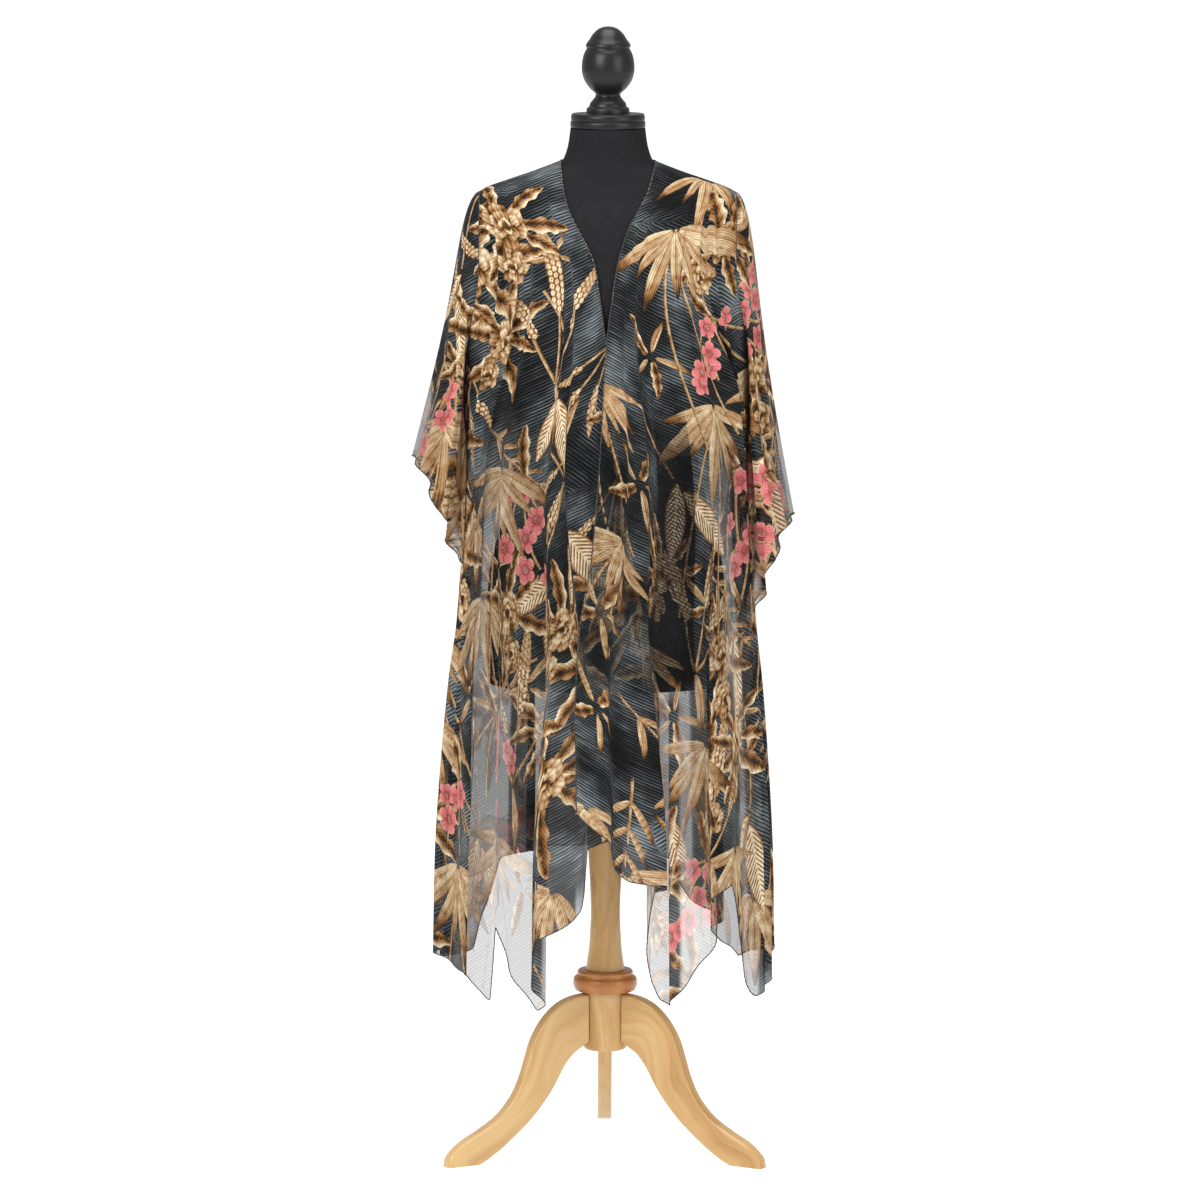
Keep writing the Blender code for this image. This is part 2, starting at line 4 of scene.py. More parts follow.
import bpy
import numpy as np
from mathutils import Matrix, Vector


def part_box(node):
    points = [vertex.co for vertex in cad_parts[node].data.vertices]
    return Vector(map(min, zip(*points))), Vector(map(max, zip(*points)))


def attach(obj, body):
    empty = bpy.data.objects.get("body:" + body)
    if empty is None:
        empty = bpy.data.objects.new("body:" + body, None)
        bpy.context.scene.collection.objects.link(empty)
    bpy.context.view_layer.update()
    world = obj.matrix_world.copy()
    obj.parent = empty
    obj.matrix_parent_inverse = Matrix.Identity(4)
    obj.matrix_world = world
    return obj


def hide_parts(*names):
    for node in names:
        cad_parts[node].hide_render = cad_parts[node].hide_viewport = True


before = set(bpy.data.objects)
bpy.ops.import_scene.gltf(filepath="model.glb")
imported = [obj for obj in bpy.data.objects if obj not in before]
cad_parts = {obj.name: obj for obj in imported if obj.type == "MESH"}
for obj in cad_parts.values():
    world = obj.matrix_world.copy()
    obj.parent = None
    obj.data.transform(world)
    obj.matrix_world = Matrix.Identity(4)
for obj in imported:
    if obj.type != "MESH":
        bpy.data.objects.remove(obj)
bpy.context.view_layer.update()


# The tripod: a turned maple hub with three bandsawn legs let into it, their edges
# rounded over on a router and all of it rubbed with a clear satin oil.
class Strand:
    """A socket of a node tree; sums on it add the nodes that work them out."""

    def __init__(self, tree, socket=None):
        self.tree = tree
        self.socket = socket

    def node(self, kind, settings=None, inputs=None, output=0):
        made = self.tree.nodes.new(kind)
        for key, value in (settings or {}).items():
            if key == "stops":
                ramp = made.color_ramp
                ramp.elements.remove(ramp.elements[1])
                ramp.elements[0].position, ramp.elements[0].color = value[0]
                for place, colour in value[1:]:
                    ramp.elements.new(place).color = colour
            else:
                setattr(made, key, value)
        for key, value in (inputs or {}).items():
            if isinstance(value, Strand):
                self.tree.links.new(value.socket, made.inputs[key])
            else:
                made.inputs[key].default_value = value
        return Strand(self.tree, made.outputs[output])

    def maths(self, operation, *values):
        return self.node("ShaderNodeMath", {"operation": operation}, dict(enumerate(values)))

    def __add__(self, other):
        return self.maths("ADD", self, other)

    def __radd__(self, other):
        return self.maths("ADD", other, self)

    def __sub__(self, other):
        return self.maths("SUBTRACT", self, other)

    def __rsub__(self, other):
        return self.maths("SUBTRACT", other, self)

    def __mul__(self, other):
        return self.maths("MULTIPLY", self, other)

    def __rmul__(self, other):
        return self.maths("MULTIPLY", other, self)

    def __truediv__(self, other):
        return self.maths("DIVIDE", self, other)

    def __pow__(self, other):
        return self.maths("POWER", self, other)

    def clamped(self):
        return self.node("ShaderNodeClamp", None, {0: self, 1: 0.0, 2: 1.0})

    def attribute(self, name, output="Vector"):
        return self.node("ShaderNodeAttribute", {"attribute_name": name}, None, output)

    def part(self, axis):
        return self.node("ShaderNodeSeparateXYZ", None, {0: self}, axis)

    def vector(self, x, y, z):
        return self.node("ShaderNodeCombineXYZ", None, {0: x, 1: y, 2: z})

    def noise(self, place, scale, detail=2.0, output=0):
        sizes = {"Vector": place, "Scale": scale, "Detail": detail, "Roughness": 0.55}
        return self.node("ShaderNodeTexNoise", None, sizes, output)

    def blend(self, share, first, second):
        settings = {"data_type": "RGBA", "blend_type": "MIX"}
        return self.node("ShaderNodeMix", settings, {0: share, 6: first, 7: second}, 2)

    def ramp(self, stops):
        full = [(place, (*colour, 1.0)) for place, colour in stops]
        return self.node("ShaderNodeValToRGB", {"stops": full}, {0: self})


def new_finish(name, roughness, **constants):
    finish = bpy.data.materials.new(name)
    finish.use_nodes = True
    shader = finish.node_tree.nodes["Principled BSDF"]
    shader.inputs["Roughness"].default_value = roughness
    for key, value in constants.items():
        shader.inputs[key.replace("_", " ")].default_value = value
    return finish, shader, Strand(finish.node_tree)


def link(shader, socket, strand):
    strand.tree.links.new(strand.socket, shader.inputs[socket])


def bumped(shader, height, strength, distance):
    sizes = {"Height": height, "Strength": strength, "Distance": distance}
    link(shader, "Normal", height.node("ShaderNodeBump", None, sizes))


def wood_finish(name, light, mid, dark, upright):
    finish, shader, wood = new_finish(name, 0.33, Coat_Weight=0.25, Coat_Roughness=0.22)
    place = wood.attribute("grain")
    long_way, across, through = place.part(0), place.part(1), place.part(2)
    drift = wood.noise(place, 6.0, 2.0)
    bands = wood.noise(wood.vector(long_way * 3.0, across * 55.0 + drift * 6.0, through * 55.0), 1.0, 3.0)
    pores = wood.noise(wood.vector(long_way * 45.0, across * 900.0, through * 900.0), 1.0, 1.0)
    tone = bands * 0.75 + pores * 0.25 + (drift - 0.5) * upright
    colour = tone.ramp([(0.28, dark), (0.46, mid), (0.66, light)])
    link(shader, "Base Color", colour)
    link(shader, "Roughness", 0.28 + pores * 0.14)
    bumped(shader, pores * 0.6 + bands * 0.4, 0.12, 0.0006)
    return finish


PALE = [(0.57, 0.370, 0.155), (0.49, 0.285, 0.100), (0.37, 0.185, 0.052)]
AMBER = [(0.45, 0.180, 0.040), (0.36, 0.125, 0.022), (0.23, 0.068, 0.011)]
pale_wood = wood_finish("pale_wood_oiled", *PALE, 0.5)
amber_wood = wood_finish("amber_wood_oiled", *AMBER, 0.3)

# Every turned piece stands on this upright line
low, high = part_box("column")
AXIS = ((low[0] + high[0]) / 2, (low[1] + high[1]) / 2)


def skin(name, grid, ring, finish, slot, replaced, vectors=None, angle=50, parted=None):
    """A mesh through a grid of points, with attributes given per point."""
    rows, columns = grid.shape[:2]
    across = np.arange(columns if ring else columns - 1)
    r, c = np.meshgrid(np.arange(rows - 1), across[across != parted], indexing="ij")
    a = r * columns + c
    b = r * columns + (c + 1) % columns
    quads = np.stack([a, b, b + columns, a + columns], axis=-1).reshape(-1, 4)
    mesh = bpy.data.meshes.new(name)
    points = grid.reshape(-1, 3).astype(np.float32)
    mesh.vertices.add(len(points))
    mesh.vertices.foreach_set("co", points.ravel())
    mesh.loops.add(quads.size)
    mesh.loops.foreach_set("vertex_index", quads.ravel().astype(np.int32))
    mesh.polygons.add(len(quads))
    mesh.polygons.foreach_set("loop_start", np.arange(0, quads.size, 4, dtype=np.int32))
    mesh.update(calc_edges=True)
    for key, values in (vectors or {}).items():
        layer = mesh.attributes.new(key, "FLOAT_VECTOR", "POINT")
        layer.data.foreach_set("vector", values.reshape(-1, 3).astype(np.float32).ravel())
    mesh.shade_smooth()
    if angle:
        mesh.set_sharp_from_angle(angle=math.radians(angle))
    mesh.materials.append(finish)
    piece = bpy.data.objects.new(name, mesh)
    bpy.context.scene.collection.objects.link(piece)
    if slot:
        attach(piece, "root")
        if replaced:
            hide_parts(replaced)
    return piece


def softened(points, steps):
    """A smooth line through points; a point given twice makes a sharp corner."""
    points = np.array(points, dtype=float)
    line = []
    for k in range(len(points) - 1):
        a, b = points[k], points[k + 1]
        if np.allclose(a, b):
            continue
        before = points[max(k - 1, 0)]
        after = points[min(k + 2, len(points) - 1)]
        enter = np.zeros(a.shape) if np.allclose(before, a) else (b - before) / 2
        leave = np.zeros(a.shape) if np.allclose(after, b) else (after - a) / 2
        if np.allclose(before, a):
            enter = b - a
        if np.allclose(after, b):
            leave = b - a
        for j in range(steps):
            t = j / steps
            line.append(
                a * (2 * t**3 - 3 * t**2 + 1) + enter * (t**3 - 2 * t**2 + t)
                + b * (3 * t**2 - 2 * t**3) + leave * (t**3 - t**2)
            )
    line.append(points[-1])
    return np.array(line)


def turned(name, profile, finish, slot, steps=3, sides=96):
    """A piece turned on a lathe, closed at both ends by a fan of its last ring."""
    line = softened(profile, steps)
    line = np.vstack([[(0.0005, line[0][1])], line, [(0.0005, line[-1][1])]])
    turn = np.linspace(0, 2 * math.pi, sides, endpoint=False)
    grid = np.empty((len(line), sides, 3))
    grid[:, :, 0] = AXIS[0] + line[:, :1] * np.cos(turn)
    grid[:, :, 1] = AXIS[1] + line[:, :1] * np.sin(turn)
    grid[:, :, 2] = line[:, 1:]
    grain = np.stack([grid[:, :, 2], grid[:, :, 0] - AXIS[0], grid[:, :, 1] - AXIS[1]], axis=-1)
    return skin(name, grid, True, finish, slot, name.replace("turned_", ""), {"grain": grain})


# columns of every turned profile: radius, height
HUB = [(0.0225, 0.1440), (0.0225, 0.1440), (0.0270, 0.1443), (0.0300, 0.1462), (0.0314, 0.1500),
       (0.0318, 0.1560), (0.0318, 0.1560), (0.0318, 0.2280), (0.0318, 0.2280)]
turned("turned_hub", HUB, pale_wood, "pale_wood")

# columns: reach and height of the upper edge, reach and height of the lower edge
LEG = [
    (0.0321, 0.2262, 0.0321, 0.1560), (0.0560, 0.2230, 0.0400, 0.1520), (0.0800, 0.2130, 0.0560, 0.1420),
    (0.1020, 0.1930, 0.0700, 0.1260), (0.1180, 0.1680, 0.0810, 0.1080), (0.1280, 0.1400, 0.0920, 0.0910),
    (0.1370, 0.1140, 0.1060, 0.0740), (0.1510, 0.0880, 0.1240, 0.0550), (0.1740, 0.0640, 0.1460, 0.0370),
    (0.2040, 0.0460, 0.1700, 0.0190), (0.2320, 0.0320, 0.1900, 0.0070), (0.2520, 0.0150, 0.2000, 0.0020),
    (0.2570, 0.0000, 0.2050, 0.0000),
]
LEG_HALF, LEG_ROUND = 0.0100, 0.0042
for leg_name, bearing in (("leg_left", 210.0), ("leg_right", 330.0), ("leg_back", 90.0)):
    edges = softened(LEG, 5)
    turn = math.radians(bearing)
    rings, grains = [], []
    run = 0.0
    for k, (upper_reach, upper_z, lower_reach, lower_z) in enumerate(edges):
        upper, lower = np.array((upper_reach, upper_z)), np.array((lower_reach, lower_z))
        middle = (upper + lower) / 2
        if k:
            run += np.linalg.norm(middle - last_middle)
        last_middle = middle
        tall = np.linalg.norm(upper - lower)
        down = (lower - upper) / tall
        ring, grain = [], []
        for corner_y, corner_d in ((1, 0), (1, 1), (-1, 1), (-1, 0)):
            for j in range(5):
                bend = math.radians(90 * j / 4)
                if (corner_y > 0) == (corner_d == 0):
                    out_y, out_d = math.sin(bend), 1 - math.cos(bend)
                else:
                    out_y, out_d = math.cos(bend), 1 - math.sin(bend)
                y = corner_y * (LEG_HALF - LEG_ROUND * (1 - out_y))
                d = LEG_ROUND * out_d if corner_d == 0 else tall - LEG_ROUND * out_d
                p = upper + down * d
                ring.append((AXIS[0] + p[0] * math.cos(turn) - y * math.sin(turn),
                             AXIS[1] + p[0] * math.sin(turn) + y * math.cos(turn), p[1]))
                grain.append((run + bearing, d, y))
        rings.append(ring)
        grains.append(grain)
    grid, grain = np.array(rings), np.array(grains)
    ends = [np.repeat(grid[k].mean(axis=0)[None, None], len(grid[k]), axis=1) for k in (0, -1)]
    tips = [np.repeat(grain[k].mean(axis=0)[None, None], len(grid[k]), axis=1) for k in (0, -1)]
    grid = np.concatenate([ends[0], grid, ends[1]])
    grain = np.concatenate([tips[0], grain, tips[1]])
    skin("shaped_" + leg_name, grid[:, ::-1], True, pale_wood, "pale_wood", leg_name,
         {"grain": grain[:, ::-1]})

# The column: a turned baluster that carries the form, over a darker bead ring.
# Both are the same hardwood; the ring took a warm amber stain before its oil.
COLLAR = [(0.0360, 0.2283), (0.0360, 0.2283), (0.0420, 0.2292), (0.0446, 0.2345), (0.0453, 0.2400),
          (0.0440, 0.2465), (0.0400, 0.2500), (0.0400, 0.2500), (0.0390, 0.2528), (0.0390, 0.2528),
          (0.0392, 0.2552), (0.0372, 0.2576), (0.0330, 0.2582), (0.0330, 0.2582)]
turned("turned_collar", COLLAR, amber_wood, "amber_wood", 4)
COLUMN = [(0.0275, 0.2585), (0.0275, 0.2585), (0.0262, 0.2680), (0.0232, 0.2900), (0.0214, 0.3200),
          (0.0208, 0.3450), (0.0222, 0.3850), (0.0248, 0.4300), (0.0262, 0.4800), (0.0245, 0.5400),
          (0.0205, 0.6000), (0.0190, 0.6677), (0.0190, 0.6677)]
turned("turned_column", COLUMN, pale_wood, "pale_wood", 5)


# The dress form: a moulded limbless torso covered in tight black linen, closed at
# the neck by a turned and lacquered wooden cap with a flame finial.
def table_value(table, column, height):
    """A column of a table at any height, by a monotone cubic through its rows."""
    rows = sorted(table, key=lambda row: row[0])
    z = np.array([row[0] for row in rows])
    v = np.array([row[column] for row in rows])
    slope = np.diff(v) / np.diff(z)
    tangent = np.zeros(len(z))
    same = slope[:-1] * slope[1:] > 0.0
    harmonic = 2.0 * slope[:-1] * slope[1:] / np.where(same, slope[:-1] + slope[1:], 1.0)
    tangent[1:-1] = np.where(same, harmonic, 0.0)
    tangent[0], tangent[-1] = slope[0], slope[-1]
    h = np.clip(np.asarray(height, dtype=float), z[0], z[-1])
    i = np.clip(np.searchsorted(z, h) - 1, 0, len(z) - 2)
    step = z[i + 1] - z[i]
    t = (h - z[i]) / step
    return (
        v[i] * (1 + 2 * t) * (1 - t) ** 2 + tangent[i] * step * t * (1 - t) ** 2
        + v[i + 1] * t * t * (3 - 2 * t) + tangent[i + 1] * step * t * t * (t - 1)
    )


ROUNDNESS = 2.3
# columns: height, half width, depth of the front, depth of the back
FORM_SECTIONS = [
    (0.6680, 0.1640, 0.1160, 0.1160), (0.7400, 0.1690, 0.1200, 0.1230), (0.8200, 0.1640, 0.1160, 0.1220),
    (0.9200, 0.1400, 0.1030, 0.1020), (1.0100, 0.1250, 0.0950, 0.0930), (1.1000, 0.1380, 0.1080, 0.1010),
    (1.1900, 0.1570, 0.1220, 0.1120), (1.2700, 0.1680, 0.1070, 0.1080), (1.3180, 0.1720, 0.0910, 0.0925),
    (1.3400, 0.1715, 0.0795, 0.0810), (1.3520, 0.1670, 0.0725, 0.0740), (1.3600, 0.1600, 0.0685, 0.0705),
    (1.3708, 0.1340, 0.0630, 0.0645), (1.3828, 0.0990, 0.0585, 0.0595), (1.3935, 0.0670, 0.0560, 0.0565),
    (1.4050, 0.0600, 0.0540, 0.0540), (1.4220, 0.0550, 0.0530, 0.0530), (1.4436, 0.0520, 0.0520, 0.0520),
]
linen, shader, cloth = new_finish("black_linen_cover", 0.80, Specular_IOR_Level=0.08)
place = cloth.attribute("grain")
threads = (cloth.maths("SINE", place.part(0) * 5200.0) * 0.5
           + cloth.maths("SINE", place.part(1) * 5200.0) * 0.5)
slubs = cloth.noise(cloth.vector(place.part(0) * 60.0, place.part(1) * 420.0, 0.0), 1.0, 2.0)
link(shader, "Base Color", (slubs * 0.7 + threads * 0.1).ramp(
    [(0.20, (0.009, 0.009, 0.010)), (0.60, (0.019, 0.019, 0.020))]))
bumped(shader, threads * 0.4 + slubs, 0.25, 0.0008)
FORM_LOW, SHOULDER_START, FORM_TOP = 0.668, 1.33, 1.4436
below, above = np.linspace(FORM_LOW, SHOULDER_START, 90), np.linspace(SHOULDER_START + 0.003, FORM_TOP, 50)
heights = np.concatenate([below, above])
turn = np.linspace(0, 2 * math.pi, 128, endpoint=False)
power = 2.0 / ROUNDNESS
width = table_value(FORM_SECTIONS, 1, heights)[:, None]
front, back = table_value(FORM_SECTIONS, 2, heights)[:, None], table_value(FORM_SECTIONS, 3, heights)[:, None]
grid = np.empty((len(heights), len(turn), 3))
grid[:, :, 0] = AXIS[0] + width * np.sign(np.cos(turn)) * np.abs(np.cos(turn)) ** power
depth = np.where(np.sin(turn) > 0, back, front)
grid[:, :, 1] = AXIS[1] + depth * np.sign(np.sin(turn)) * np.abs(np.sin(turn)) ** power
grid[:, :, 2] = heights[:, None]
middle_ring = np.tile((*AXIS, FORM_LOW), (1, len(turn), 1))
grid = np.concatenate([middle_ring, grid, middle_ring + (0, 0, FORM_TOP - FORM_LOW)])
around = np.cumsum(np.linalg.norm(np.diff(grid, axis=1, prepend=grid[:, :1]), axis=2), axis=1)
grain = np.stack([grid[:, :, 2], around, grid[:, :, 1]], axis=-1)
skin("padded_torso", grid, True, linen, "black_linen", "torso", {"grain": grain})

lacquer, shader, paint = new_finish("black_lacquered_wood", 0.40, Specular_IOR_Level=0.3)
place = paint.attribute("grain")
open_pores = paint.noise(
    paint.vector(place.part(0) * 50.0, place.part(1) * 700.0, place.part(2) * 700.0), 1.0, 2.0)
link(shader, "Base Color", open_pores.ramp([(0.3, (0.004, 0.004, 0.005)), (0.7, (0.011, 0.011, 0.011))]))
link(shader, "Roughness", 0.27 + open_pores * 0.14)
bumped(shader, open_pores, 0.15, 0.0006)
NECK_CAP = [(0.0500, 1.4439), (0.0500, 1.4439), (0.0518, 1.4452), (0.0520, 1.4525), (0.0504, 1.4543),
            (0.0504, 1.4543), (0.0512, 1.4560), (0.0512, 1.4610), (0.0496, 1.4640), (0.0496, 1.4640),
            (0.0360, 1.4650), (0.0360, 1.4650)]
turned("turned_neck_cap", NECK_CAP, lacquer, "black_wood", 3)
FINIAL = [(0.0300, 1.4653), (0.0300, 1.4653), (0.0298, 1.4700), (0.0285, 1.4722), (0.0262, 1.4738),
          (0.0262, 1.4738), (0.0245, 1.4790), (0.0200, 1.4845), (0.0172, 1.4890), (0.0186, 1.4928),
          (0.0255, 1.4990), (0.0325, 1.5090), (0.0358, 1.5190), (0.0366, 1.5280), (0.0358, 1.5380),
          (0.0335, 1.5470), (0.0300, 1.5536), (0.0300, 1.5536), (0.0298, 1.5552), (0.0298, 1.5552),
          (0.0312, 1.5572), (0.0302, 1.5610), (0.0262, 1.5665), (0.0215, 1.5738), (0.0150, 1.5802),
          (0.0080, 1.5836), (0.0006, 1.5848)]
turned("turned_finial", FINIAL, lacquer, "black_wood", 4)


# The coat: five pieces of sheer crinkled voile, printed before they were cut, hung
# open over the form. These are its sizes; each piece has a section of its own below.
def smooth_step(low, high, value):
    t = np.clip((value - low) / (high - low), 0.0, 1.0)
    return t * t * (3.0 - 2.0 * t)


NECK_HALF_WIDTH, ARMHOLE_X, SHOULDER_LOW_Z = 0.066, 0.178, 1.330
UNDERARM_Z, ARMHOLE_BLEND, FOLD_FREE_EDGE = 1.000, 0.26, 0.05
LAP_LIFT, LAP_TOP_Z, LAP_FULL_Z = 0.006, 1.240, 1.130
# columns: height, half width, depth of the front, depth of the back
COAT_SECTIONS = [
    (1.3980, 0.0665, 0.0585, 0.0590), (1.3850, 0.1000, 0.0610, 0.0620), (1.3730, 0.1350, 0.0655, 0.0670),
    (1.3600, 0.1700, 0.0720, 0.0740), (1.3460, 0.1890, 0.0800, 0.0820), (1.3220, 0.1990, 0.0930, 0.0950),
    (1.2800, 0.2030, 0.1090, 0.1100), (1.1900, 0.2040, 0.1290, 0.1240), (1.1000, 0.2010, 0.1380, 0.1300),
    (1.0000, 0.1970, 0.1420, 0.1340), (0.8800, 0.2000, 0.1460, 0.1400), (0.7700, 0.2060, 0.1490, 0.1450),
    (0.6800, 0.2150, 0.1520, 0.1490), (0.5600, 0.2210, 0.1560, 0.1540), (0.4000, 0.2270, 0.1600, 0.1590),
    (0.2200, 0.2300, 0.1630, 0.1630),
]
# columns: height, x of the wearer's right front's edge, x of the left front's edge
FRONT_EDGES = [
    (1.3980, -0.0660, 0.0660), (1.3620, -0.0610, 0.0560), (1.3320, -0.0520, 0.0400),
    (1.3070, -0.0390, 0.0270), (1.2850, -0.0270, 0.0200), (1.2590, -0.0170, 0.0130),
    (1.2260, -0.0120, 0.0080), (1.1450, 0.0000, -0.0020), (1.0250, 0.0130, -0.0080),
    (0.8560, 0.0360, -0.0210), (0.7480, 0.0580, -0.0380), (0.6400, 0.0730, -0.0420),
    (0.4900, 0.0740, -0.0400), (0.2200, 0.0740, -0.0400),
]


def angle_at(x, half_width):
    """Signed bearing, 0 at the middle and a quarter turn at the side."""
    share = np.clip(np.abs(x) / half_width, 0.0, 1.0) ** (ROUNDNESS / 2.0)
    return np.sign(x) * np.arcsin(share)


def turn_by(bearing, height, along, depth_column):
    """The bearing after a move along the plan outline."""
    width = table_value(COAT_SECTIONS, 1, height)
    depth = table_value(COAT_SECTIONS, depth_column, height)
    return bearing + along / np.hypot(width * np.cos(bearing), depth * np.sin(bearing))


def outline_point(bearing, height, lift, depth_column, facing):
    """A point of the coat's plan outline, moved out by lift."""
    width = table_value(COAT_SECTIONS, 1, height)
    depth = table_value(COAT_SECTIONS, depth_column, height)
    x = width * np.sign(np.sin(bearing)) * np.abs(np.sin(bearing)) ** power
    y = depth * np.abs(np.cos(bearing)) ** power
    out_x, out_y = np.sin(bearing) / width, np.cos(bearing) / depth
    length = np.hypot(out_x, out_y)
    return x + lift * out_x / length, facing * (y + lift * out_y / length)


def armhole_bearing(height):
    """Bearing of a piece's side edge: the side seam, then the armhole."""
    width = table_value(COAT_SECTIONS, 1, height)
    open_share = smooth_step(UNDERARM_Z, UNDERARM_Z + ARMHOLE_BLEND, height)
    return math.pi / 2 + open_share * (angle_at(ARMHOLE_X, width) - math.pi / 2)


def side_reach(height):
    width = table_value(COAT_SECTIONS, 1, height)
    reach = width * np.sin(armhole_bearing(height)) ** power
    return np.where(height > SHOULDER_LOW_Z, ARMHOLE_X, reach)


def shoulder_height(x):
    heights = np.linspace(COAT_SECTIONS[0][0], SHOULDER_LOW_Z, 600)
    widths = table_value(COAT_SECTIONS, 1, heights)
    return np.interp(np.maximum(np.abs(x), NECK_HALF_WIDTH), widths, heights)


def fold_lift(folds, creases, place, height):
    """How far out, and how far along the piece, its folds and creases stand."""
    out, along = np.zeros_like(place), np.zeros_like(place)
    for middle, half_width, depth, lean, start, full in folds:
        ridge = np.exp(-(((place - middle) / half_width) ** 2)) * smooth_step(start, full, height) ** 1.2
        out += depth * ridge
        along += lean * ridge
    for middle, drift, half_width, depth, top, bottom in creases:
        fall = (top - height) / (top - bottom)
        line = middle + drift * np.clip(fall, 0, 1) + 0.006 * np.sin(fall * 9.0 + middle * 40.0)
        grown = smooth_step(0.0, 0.25, fall) * smooth_step(1.0, 0.70, fall)
        out += depth * np.exp(-(((place - line) / half_width) ** 2)) * grown
    free = smooth_step(1.0, 1.0 - FOLD_FREE_EDGE, np.abs(place))
    return out * free, along * free


def rows_down(top, bottom, place, count, shape_row):
    """Rows of points from the shoulder to the hem, each put in place by shape_row."""
    rows = []
    for row in range(count):
        fall = (row / (count - 1)) ** 1.25
        z = top - (top - bottom) * fall
        x, y = shape_row(place, z, row == 0)
        rows.append(np.column_stack([x + AXIS[0], y + AXIS[1], z]))
    return np.array(rows)


def columns_on(folds, start, stop, count):
    """The columns' places: closer together on the flanks of a fold, where there is more cloth."""
    place = np.linspace(start, stop, 4001)
    length = np.full_like(place, 0.45)
    for middle, half_width, depth, lean, _, _ in folds:
        away = (place - middle) / half_width
        length += (abs(lean) + abs(depth)) * np.abs(2 * away / half_width * np.exp(-(away**2)))
    run = np.cumsum(length**0.8)
    return np.interp(np.linspace(run[0], run[-1], count), run, place)


def front_grid(side, edge_column, hem, folds, creases, over, columns, count):
    hem_x, hem_z = np.array(hem)[:, 0] * side, np.array(hem)[:, 1]
    width = table_value(COAT_SECTIONS, 1, hem_z)
    edge = angle_at(side * table_value(FRONT_EDGES, edge_column, hem_z), width)
    hem_place = (angle_at(hem_x, width) - edge) / (math.pi / 2 - edge)
    hem_place = np.maximum.accumulate(np.clip(hem_place, 0.0, 1.0))
    hem_place[0], hem_place[-1] = 0.0, 1.0
    hem_place += np.arange(len(hem_place)) * 1e-6
    hem_place /= hem_place[-1]
    place = columns_on(folds, 0.0, 1.0, columns)
    bottom = np.interp(place, hem_place, hem_z)
    top = shoulder_height(NECK_HALF_WIDTH + (ARMHOLE_X - NECK_HALF_WIDTH) * place)

    def shape_row(place, z, at_seam):
        width = table_value(COAT_SECTIONS, 1, z)
        edge_x = side * table_value(FRONT_EDGES, edge_column, z)
        side_bearing, side_x = armhole_bearing(z), side_reach(z)
        upper = angle_at(edge_x + (side_x - edge_x) * place, width)
        edge = angle_at(edge_x, width)
        lower = edge + (side_bearing - edge) * place
        share = smooth_step(UNDERARM_Z - 0.1, UNDERARM_Z + 0.3, z)
        out, along = fold_lift(folds, creases, place, z)
        bearing = turn_by(lower + (upper - lower) * share, z, along, 2)
        bearing = np.full_like(z, math.pi / 2) if at_seam else np.minimum(bearing, side_bearing)
        lap = 1.0 - smooth_step(0.045, 0.110, np.abs(edge_x + (side_x - edge_x) * place))
        lap = lap * (1.0 - smooth_step(LAP_FULL_Z, LAP_TOP_Z, z))
        out = out + (LAP_LIFT * lap if over else -0.001 * lap)
        x, y = outline_point(bearing, z, out, 2, -1.0)
        return side * x, np.minimum(y, -0.0004)

    return rows_down(top, bottom, place, count, shape_row), place


def back_grid(hem, folds, creases, columns, count):
    hem_x, hem_z = np.array(hem)[:, 0], np.array(hem)[:, 1]
    hem_place = angle_at(hem_x, table_value(COAT_SECTIONS, 1, hem_z)) / (math.pi / 2)
    hem_place[0], hem_place[-1] = -1.0, 1.0
    place = columns_on(folds, -1.0, 1.0, columns)
    bottom = np.interp(place, hem_place, hem_z)
    top_x = np.abs(place) * ARMHOLE_X
    top = shoulder_height(top_x) - 0.008 * (1.0 - smooth_step(0.0, NECK_HALF_WIDTH, top_x))

    def shape_row(place, z, at_seam):
        width = table_value(COAT_SECTIONS, 1, z)
        side_bearing, side_x = armhole_bearing(z), side_reach(z)
        upper = angle_at(side_x * place, width)
        share = smooth_step(UNDERARM_Z - 0.1, UNDERARM_Z + 0.3, z)
        out, along = fold_lift(folds, creases, place, z)
        bearing = turn_by(side_bearing * place * (1 - share) + upper * share, z, along, 3)
        bearing = np.clip(bearing, -side_bearing, side_bearing)
        if at_seam:
            bearing = np.where(top_x >= NECK_HALF_WIDTH, np.sign(place) * math.pi / 2, bearing)
        x, y = outline_point(bearing, z, out, 3, 1.0)
        return x, np.maximum(y, 0.0004)

    return rows_down(top, bottom, place, count, shape_row), place


def flat_cut(grid, reference):
    """Where each point was on the flat cloth: across from a column, and down, in metres."""
    across = np.cumsum(np.linalg.norm(np.diff(grid, axis=1, prepend=grid[:, :1]), axis=2), axis=1)
    down = np.cumsum(np.linalg.norm(np.diff(grid, axis=0, prepend=grid[:1]), axis=2), axis=0)
    level = np.array([np.interp(-1.0, -grid[:, c, 2], down[:, c]) for c in range(grid.shape[1])])
    return across - across[:, reference:reference + 1], down - level + 0.4


